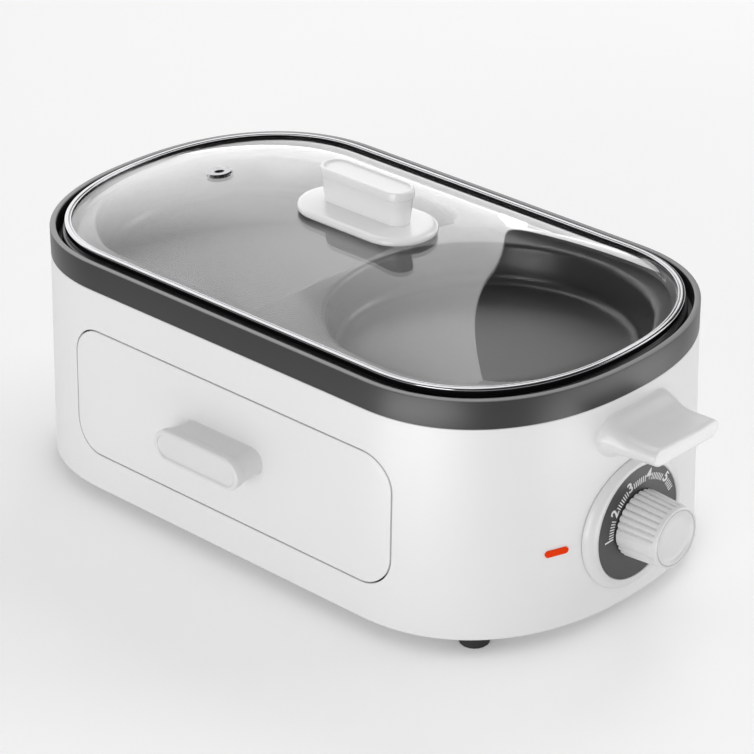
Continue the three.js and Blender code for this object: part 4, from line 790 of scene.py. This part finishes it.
drawer_handle_length, drawer_handle_x, drawer_handle_height = 21.44, 0.3, 69.475
pale_grey = Finish("pale_grey_plastic").satin(
    (0.69, 0.69, 0.69), (0.73, 0.73, 0.73),
    grain=0.0004, cloud=0.05, roughness=0.25, spread=0.08, relief=0.000008,
)
across, rise, out = np.moveaxis(grip_rows(drawer_handle_length, flare=1.6), -1, 0)
across, rise = across + drawer_handle_x, rise + drawer_handle_height
drawer_grip = np.stack([across, np.minimum(-half_width - out, front_depth(across, rise) + 0.1), rise], -1)
piece(
    "drawer_handle_dished", [grid(drawer_grip, round_columns=True)],
    pale_grey, "drawer", ["drawer_handle"],
)
dress(plated_steel, "drawer_handle_screw_left", "drawer_handle_screw_right")

# Side handles: two ledges of pale grey plastic that flare into the shell at its ends, dished along the top.
# Two screws from inside the shell hold each.

handle_height, handle_reach = 107.9, 31.8
handle_root = end_reach(0.0, handle_height)


def side_handle(side):
    """Rings from the shell to the free end, by the share s of the way out. Half width, top and underside each
    lose a flare that falls off as exp(-(s / a)^2), and the underside also rises straight by 2.8 mm.
    Each ring is a rounded rectangle, and its top dips by up to 1.7 mm along the middle."""
    around = np.linspace(0, 2 * np.pi, 129)[:-1]
    out_y, out_z = np.cos(around), np.sin(around)
    shares = np.concatenate([np.linspace(0, 0.5, 19), np.linspace(0.5, 0.965, 8)[1:]])
    edges = np.concatenate([0 * shares, 1.1 * (1 - np.cos(quarter))[1:]])
    shares = np.concatenate([shares, 0.965 + 0.035 * np.sin(quarter)[1:]])
    rings = []
    for share, edge in zip(shares, edges):
        half = 25.6 + 3.3 * np.exp(-((share / 0.3) ** 2)) - edge
        top = 5.8 + 6.6 * np.exp(-((share / 0.26) ** 2)) - edge
        under = -4.9 - 2.8 * (1 - share) - 4.2 * np.exp(-((share / 0.16) ** 2)) + edge
        height = (top - under) / 2
        corner = min(height * 0.98, 12.8)
        y = np.sign(out_y) * (half - corner) * np.abs(out_y) ** 0.02 + corner * out_y
        z = np.sign(out_z) * (height - corner) + corner * out_z
        dip = 1.7 * min(2 * share, 1) * np.clip(z / height, 0, None) * (1 - (y / half) ** 2)
        z = handle_height + (top + under) / 2 + z - dip
        base = end_reach(y, z) - 0.1
        rings.append(np.stack([base + share * (handle_root + handle_reach - base), side * y, z], -1))
    tip, back = rings[-1].copy(), rings[0].copy()
    tip[:, 1] *= 0.02
    tip[:, 2] = tip[:, 2].mean()
    back[:, 1] = 0.0
    back[:, 2] = handle_height
    rings = np.array([back, *rings, tip])
    rings[..., 0] *= side
    return grid(rings, round_columns=True)


for side, side_name in ((1, "right"), (-1, "left")):
    piece(
        "side_handle_ledge_" + side_name, [side_handle(side)],
        pale_grey, "housing", ["side_handle_" + side_name],
    )
    dress(plated_steel, side_name + "_handle_screw_front", side_name + "_handle_screw_back")

# Dial: a pale grey bezel like half a ring, standing on the shell with a fine seam round its foot.
# Its floor carries a dark plate, printed in pale grey with 1 to 5 and fine ticks.

bezel_crest, bezel_middle, bezel_round = 32.4, 183.2, np.array([5.6, 5.9])
bezel_hole, bezel_back, shaft_hole = 22.5, 180.5, 4.4
plate_radius, plate_back, plate_front = 31.2, 187.906, 188.506
bearings = np.linspace(0, 2 * np.pi, 129)[:-1]


def about_dial(x, radius, bearing):
    """Points at places along the dial's axis, distances from it and bearings round it."""
    y, z = radius * np.cos(bearing), dial_height + radius * np.sin(bearing)
    return np.stack([np.broadcast_to(x, y.shape), y, z], -1)


def spin(section):
    """A section of distances from the dial's axis and places along it, turned once round the axis."""
    radius, x = np.asarray(section, float).T[:, :, None]
    return about_dial(x, radius, bearings)


def bezel_shoulder():
    """The bezel's outer round by bearing: an ellipse from its crest down to 0.35 mm off the shell, then in by
    2.4 mm, and back to the hole in the shell."""
    foot_radius, seam, foot_wall = 37.4, 0.35, 2.4
    foot = end_reach(foot_radius * np.cos(bearings), dial_height + foot_radius * np.sin(bearings)) + seam
    last = np.arcsin(np.clip((foot - bezel_middle) / bezel_round[1], -1, 1))
    share = np.linspace(0, 1, 15)[:, None]
    tilt = np.pi / 2 + (last - np.pi / 2) * share
    radius = bezel_crest + bezel_round[0] * np.cos(tilt)
    x = bezel_middle + bezel_round[1] * np.sin(tilt)
    back = np.stack([radius[-1] - foot_wall, radius[-1] - foot_wall, 0 * radius[-1] + bezel_hole])
    radius = np.concatenate([radius, back])
    x = np.concatenate([x, x[-1:] + 0.1, x[-1:] - 3.0, 0 * x[-1:] + bezel_back])
    return about_dial(x, radius, bearings)


bezel_rows = np.concatenate([
    spin([
        (bezel_hole, bezel_back), (bezel_hole, 186.4), (shaft_hole, 186.4), (shaft_hole, 187.606),
        (31.5, 187.606), (31.5, 188.6), (31.7, 188.88), (32.0, 189.04),
    ]),
    bezel_shoulder(),
])
piece(
    "dial_bezel_ring", [grid(bezel_rows, round_columns=True)],
    pale_grey, "housing", ["dial_bezel"],
)
dark_dial = Finish("dark_dial_plate").satin(
    (0.042, 0.042, 0.043), (0.050, 0.050, 0.051),
    grain=0.0005, cloud=0.02, roughness=0.42, spread=0.10, relief=0.00001,
)
plate_section = fillet(
    [
        (plate_radius, plate_back), (plate_radius, plate_front),
        (shaft_hole, plate_front), (shaft_hole, plate_back),
    ],
    [0, 0.15, 0, 0],
)
piece(
    "dial_plate_disc", [grid(spin(plate_section), round_rows=True, round_columns=True)],
    dark_dial, "housing", ["dial_plate"],
)

print_middle = np.array([3.7, dial_height - 1.5])
print_front, print_back = plate_front + 0.04, plate_front - 0.1
first_mark, tick_turn = 181.8, 3.4
numeral_angles = {"2": 148.4, "3": 114.5, "4": 81.0, "5": 45.9}
numeral_height, numeral_distance, numeral_weight = 6.2, 26.4, 0.03


def printed(flat):
    """Points of the print, across y and height, held within 0.4 mm of the plate's edge by drawing them in."""
    away = flat - (0, dial_height)
    far = np.linalg.norm(away, axis=-1, keepdims=True)
    return (0, dial_height) + away * np.minimum(1, (plate_radius - 0.4) / far)


def tick(angle, inner, outer, width):
    """One tick as a thin block: along the ray at an angle, from an inner to an outer distance."""
    ray = np.radians(angle)
    along, side = np.array([np.cos(ray), np.sin(ray)]), np.array([-np.sin(ray), np.cos(ray)])
    start = print_middle + inner * along
    ends = [start - side * width / 2, start + along * (outer - inner) - side * width / 2]
    ring = printed(np.array([ends[0], ends[1], ends[1] + side * width, ends[0] + side * width]))
    faces = [np.column_stack([np.full(4, x), ring]) for x in (print_back, print_front)]
    middles = [np.broadcast_to(face.mean(0), (4, 3)) for face in faces]
    return grid([middles[0], *faces, middles[1]], round_columns=True)


tick_angles = [first_mark - tick_turn * k for k in range(1, 8)]
tick_angles += [numeral_angles[name] - tick_turn * k for name in "234" for k in range(2, 9)]
tick_angles += [numeral_angles["5"] - tick_turn * k for k in range(2, 7)]
bar_for_one = tick(first_mark, 23.2, 29.6, 0.9)
ticks = [*(tick(angle, 23.0, 26.6, 0.62) for angle in tick_angles), bar_for_one]
print_ink = Finish("pale_grey_print").satin(
    (0.80, 0.80, 0.80), (0.85, 0.85, 0.85),
    grain=0.0003, cloud=0.005, roughness=0.45, spread=0.10, relief=0.000005,
)
piece("dial_ticks_print", ticks, print_ink, "housing")


def numeral(name, angle):
    """A printed numeral with its top outwards: flat outlines of a plain type, scaled to 6.2 mm high, turned
    to the ray at an angle, and made one thin solid."""
    curve_data = bpy.data.curves.new("numeral_" + name, "FONT")
    curve_data.body = name
    curve_data.offset = numeral_weight
    source = bpy.data.objects.new("numeral_" + name, curve_data)
    scene_objects.link(source)
    bpy.context.view_layer.update()
    mesh = bpy.data.meshes.new_from_object(source)
    bpy.data.objects.remove(source)
    flat = np.empty(len(mesh.vertices) * 3)
    mesh.vertices.foreach_get("co", flat)
    flat = flat.reshape(-1, 3)[:, :2]
    low, high = flat.min(0), flat.max(0)
    flat = (flat - (low + high) / 2) * numeral_height / (high[1] - low[1])
    ray = np.radians(angle)
    outward, across = np.array([np.cos(ray), np.sin(ray)]), np.array([np.sin(ray), -np.cos(ray)])
    place = printed(print_middle + outward * (numeral_distance + flat[:, 1:]) + across * flat[:, :1])
    corners = np.column_stack([np.full(len(place), print_front), place]) * millimetre
    corners[:, 1] += middle_y
    mesh.vertices.foreach_set("co", corners.ravel())
    work = bmesh.new()
    work.from_mesh(mesh)
    bmesh.ops.remove_doubles(work, verts=work.verts, dist=weld)
    skin = bmesh.ops.extrude_face_region(work, geom=work.faces[:])
    back = [part for part in skin["geom"] if isinstance(part, bmesh.types.BMVert)]
    bmesh.ops.translate(work, verts=back, vec=((print_back - print_front) * millimetre, 0, 0))
    bmesh.ops.recalc_face_normals(work, faces=work.faces)
    work.to_mesh(mesh)
    work.free()
    mesh.materials.clear()
    mesh.materials.append(print_ink)
    made = bpy.data.objects.new("dial_numeral_" + name, mesh)
    scene_objects.link(made)
    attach(made, "housing")


for name, angle in numeral_angles.items():
    numeral(name, angle)

# Knob: a ribbed drum of light grey plastic that tapers to a dished front, with one wide smooth rib as a
# pointer. It is pressed on the switch's plated steel shaft.

knob_back, knob_front, ribs, rib_faces, rib_depth = 189.006, 213.506, 30, 16, 1.15
pointer_bearing, pointer_radius = 186, 17.5


def knob_rows():
    """The drum's radius tapers straight from 18.2 to 16.9 mm, less a groove between ribs: 1.15 mm times the
    power 2.6 of the nearness to the groove's middle, which is 0 on a rib's crest and 1 in the middle.
    A smooth rib at 186 degrees points, and widens from 5.4 to 7.3 mm on its way to the front."""
    around = np.linspace(0, 2 * np.pi, ribs * rib_faces + 1)[:-1]
    phase = (around * ribs / (2 * np.pi)) % 1.0
    groove = (1 - 2 * np.abs(phase - np.round(phase))) ** 2.6
    turn_away = (around - np.radians(pointer_bearing) + np.pi) % (2 * np.pi) - np.pi
    off_pointer = np.abs(turn_away) * pointer_radius
    turn = np.linspace(0, np.pi / 2, 6)
    drum = np.linspace(0, 1, 10)
    path = [
        (0.0, knob_back, 0), (17.5, knob_back, 0.7), (18.1, knob_back + 0.3, 1),
        *((18.2 - 1.3 * s, knob_back + 0.8 + s * 21.0, 1) for s in drum),
        (16.88, knob_front - 2.4, 0.3), (16.86, knob_front - 2.2, 0),
        *((16.1 + 0.7 * np.cos(a), knob_front - 0.7 + 0.7 * np.sin(a), 0) for a in turn),
        *((radius, knob_front - dip, 0) for radius, dip in (
            (15.6, 0), (15.4, 0.2), (15.2, 0.75), (14.9, 0.75), (14.7, 0.3), (14.4, 0.12), (13.9, 0.2),
            (13.2, 0.7), (12.4, 1.15), (11.4, 1.35), (9.5, 1.4), (0.0, 1.4),
        )),
    ]
    rows = []
    for radius, x, ribbed in path:
        half = 2.7 + 0.95 * np.clip((x - knob_back) / (knob_front - knob_back), 0, 1)
        pointer = np.clip((half + 0.25 - off_pointer) / 0.5, 0, 1)
        r = radius - ribbed * (rib_depth * groove * (1 - pointer) - 0.25 * pointer)
        rows.append(about_dial(x, r, around))
    return np.array(rows)


knob_grey = Finish("light_grey_plastic").satin(
    (0.67, 0.67, 0.67), (0.71, 0.71, 0.71),
    grain=0.0004, cloud=0.02, roughness=0.30, spread=0.10, relief=0.00001,
)
piece(
    "control_knob_ribbed", [grid(knob_rows(), round_columns=True)],
    knob_grey, "knob", ["control_knob"], sharp=30,
)
dress(plated_steel, "control_shaft")

# Works behind the dial: a thermostat switch on a steel bracket, the pilot lamp, and the wiring with its fuse
# and terminals. The pilot lamp's lens is a pill of orange plastic pressed through a slot in the shell.

orange_lens = Finish("orange_lens_plastic").satin(
    (0.80, 0.040, 0.001), (0.84, 0.048, 0.002),
    grain=0.0006, cloud=0.004, roughness=0.30, spread=0.06, relief=0.000005, Specular_IOR_Level=0.03,
)
black_matt = Finish("matt_black_plastic").satin(
    (0.022, 0.022, 0.022), (0.034, 0.034, 0.034),
    grain=0.0005, cloud=0.01, roughness=0.50, spread=0.12, relief=0.00002,
)
pale_ceramic = Finish("matt_off_white_ceramic").satin(
    (0.68, 0.66, 0.60), (0.78, 0.76, 0.70),
    grain=0.0006, cloud=0.01, roughness=0.65, spread=0.12, relief=0.00002,
)
dress(orange_lens, "indicator_lens")
dress(sheet_steel, "control_bracket")
dress(black_matt, "control_switch", "indicator_lamp", "cord_gland")
dress(black_rubber, "wiring")
dress(plated_steel, "thermal_fuse")
dress(pale_ceramic, "terminal_block")

# Oven: a sheet-steel box on a stand, with two heaters above and two below the tray, in tubes of pale ceramic.
# A shield of sheet steel over it, on four legs, carries two cast aluminium pan heaters.

cast_finish = Finish("cast_aluminium")
cast_skin = cast_finish.noise(0.0012, detail=4.0)
cast_aluminium = cast_finish.surface(
    Base_Color=cast_finish.blend(cast_skin, (0.48, 0.49, 0.50), (0.60, 0.61, 0.62)),
    Metallic=1.0, Roughness=0.45 + 0.15 * cast_skin, Normal=cast_finish.bump(cast_skin, 0.00005, 0.6),
)
dress(sheet_steel, "oven_liner", "oven_stand", "heat_shield")
dress(pale_ceramic, "lower_heaters", "upper_heaters")
dress(cast_aluminium, "pan_heater_left", "pan_heater_right")
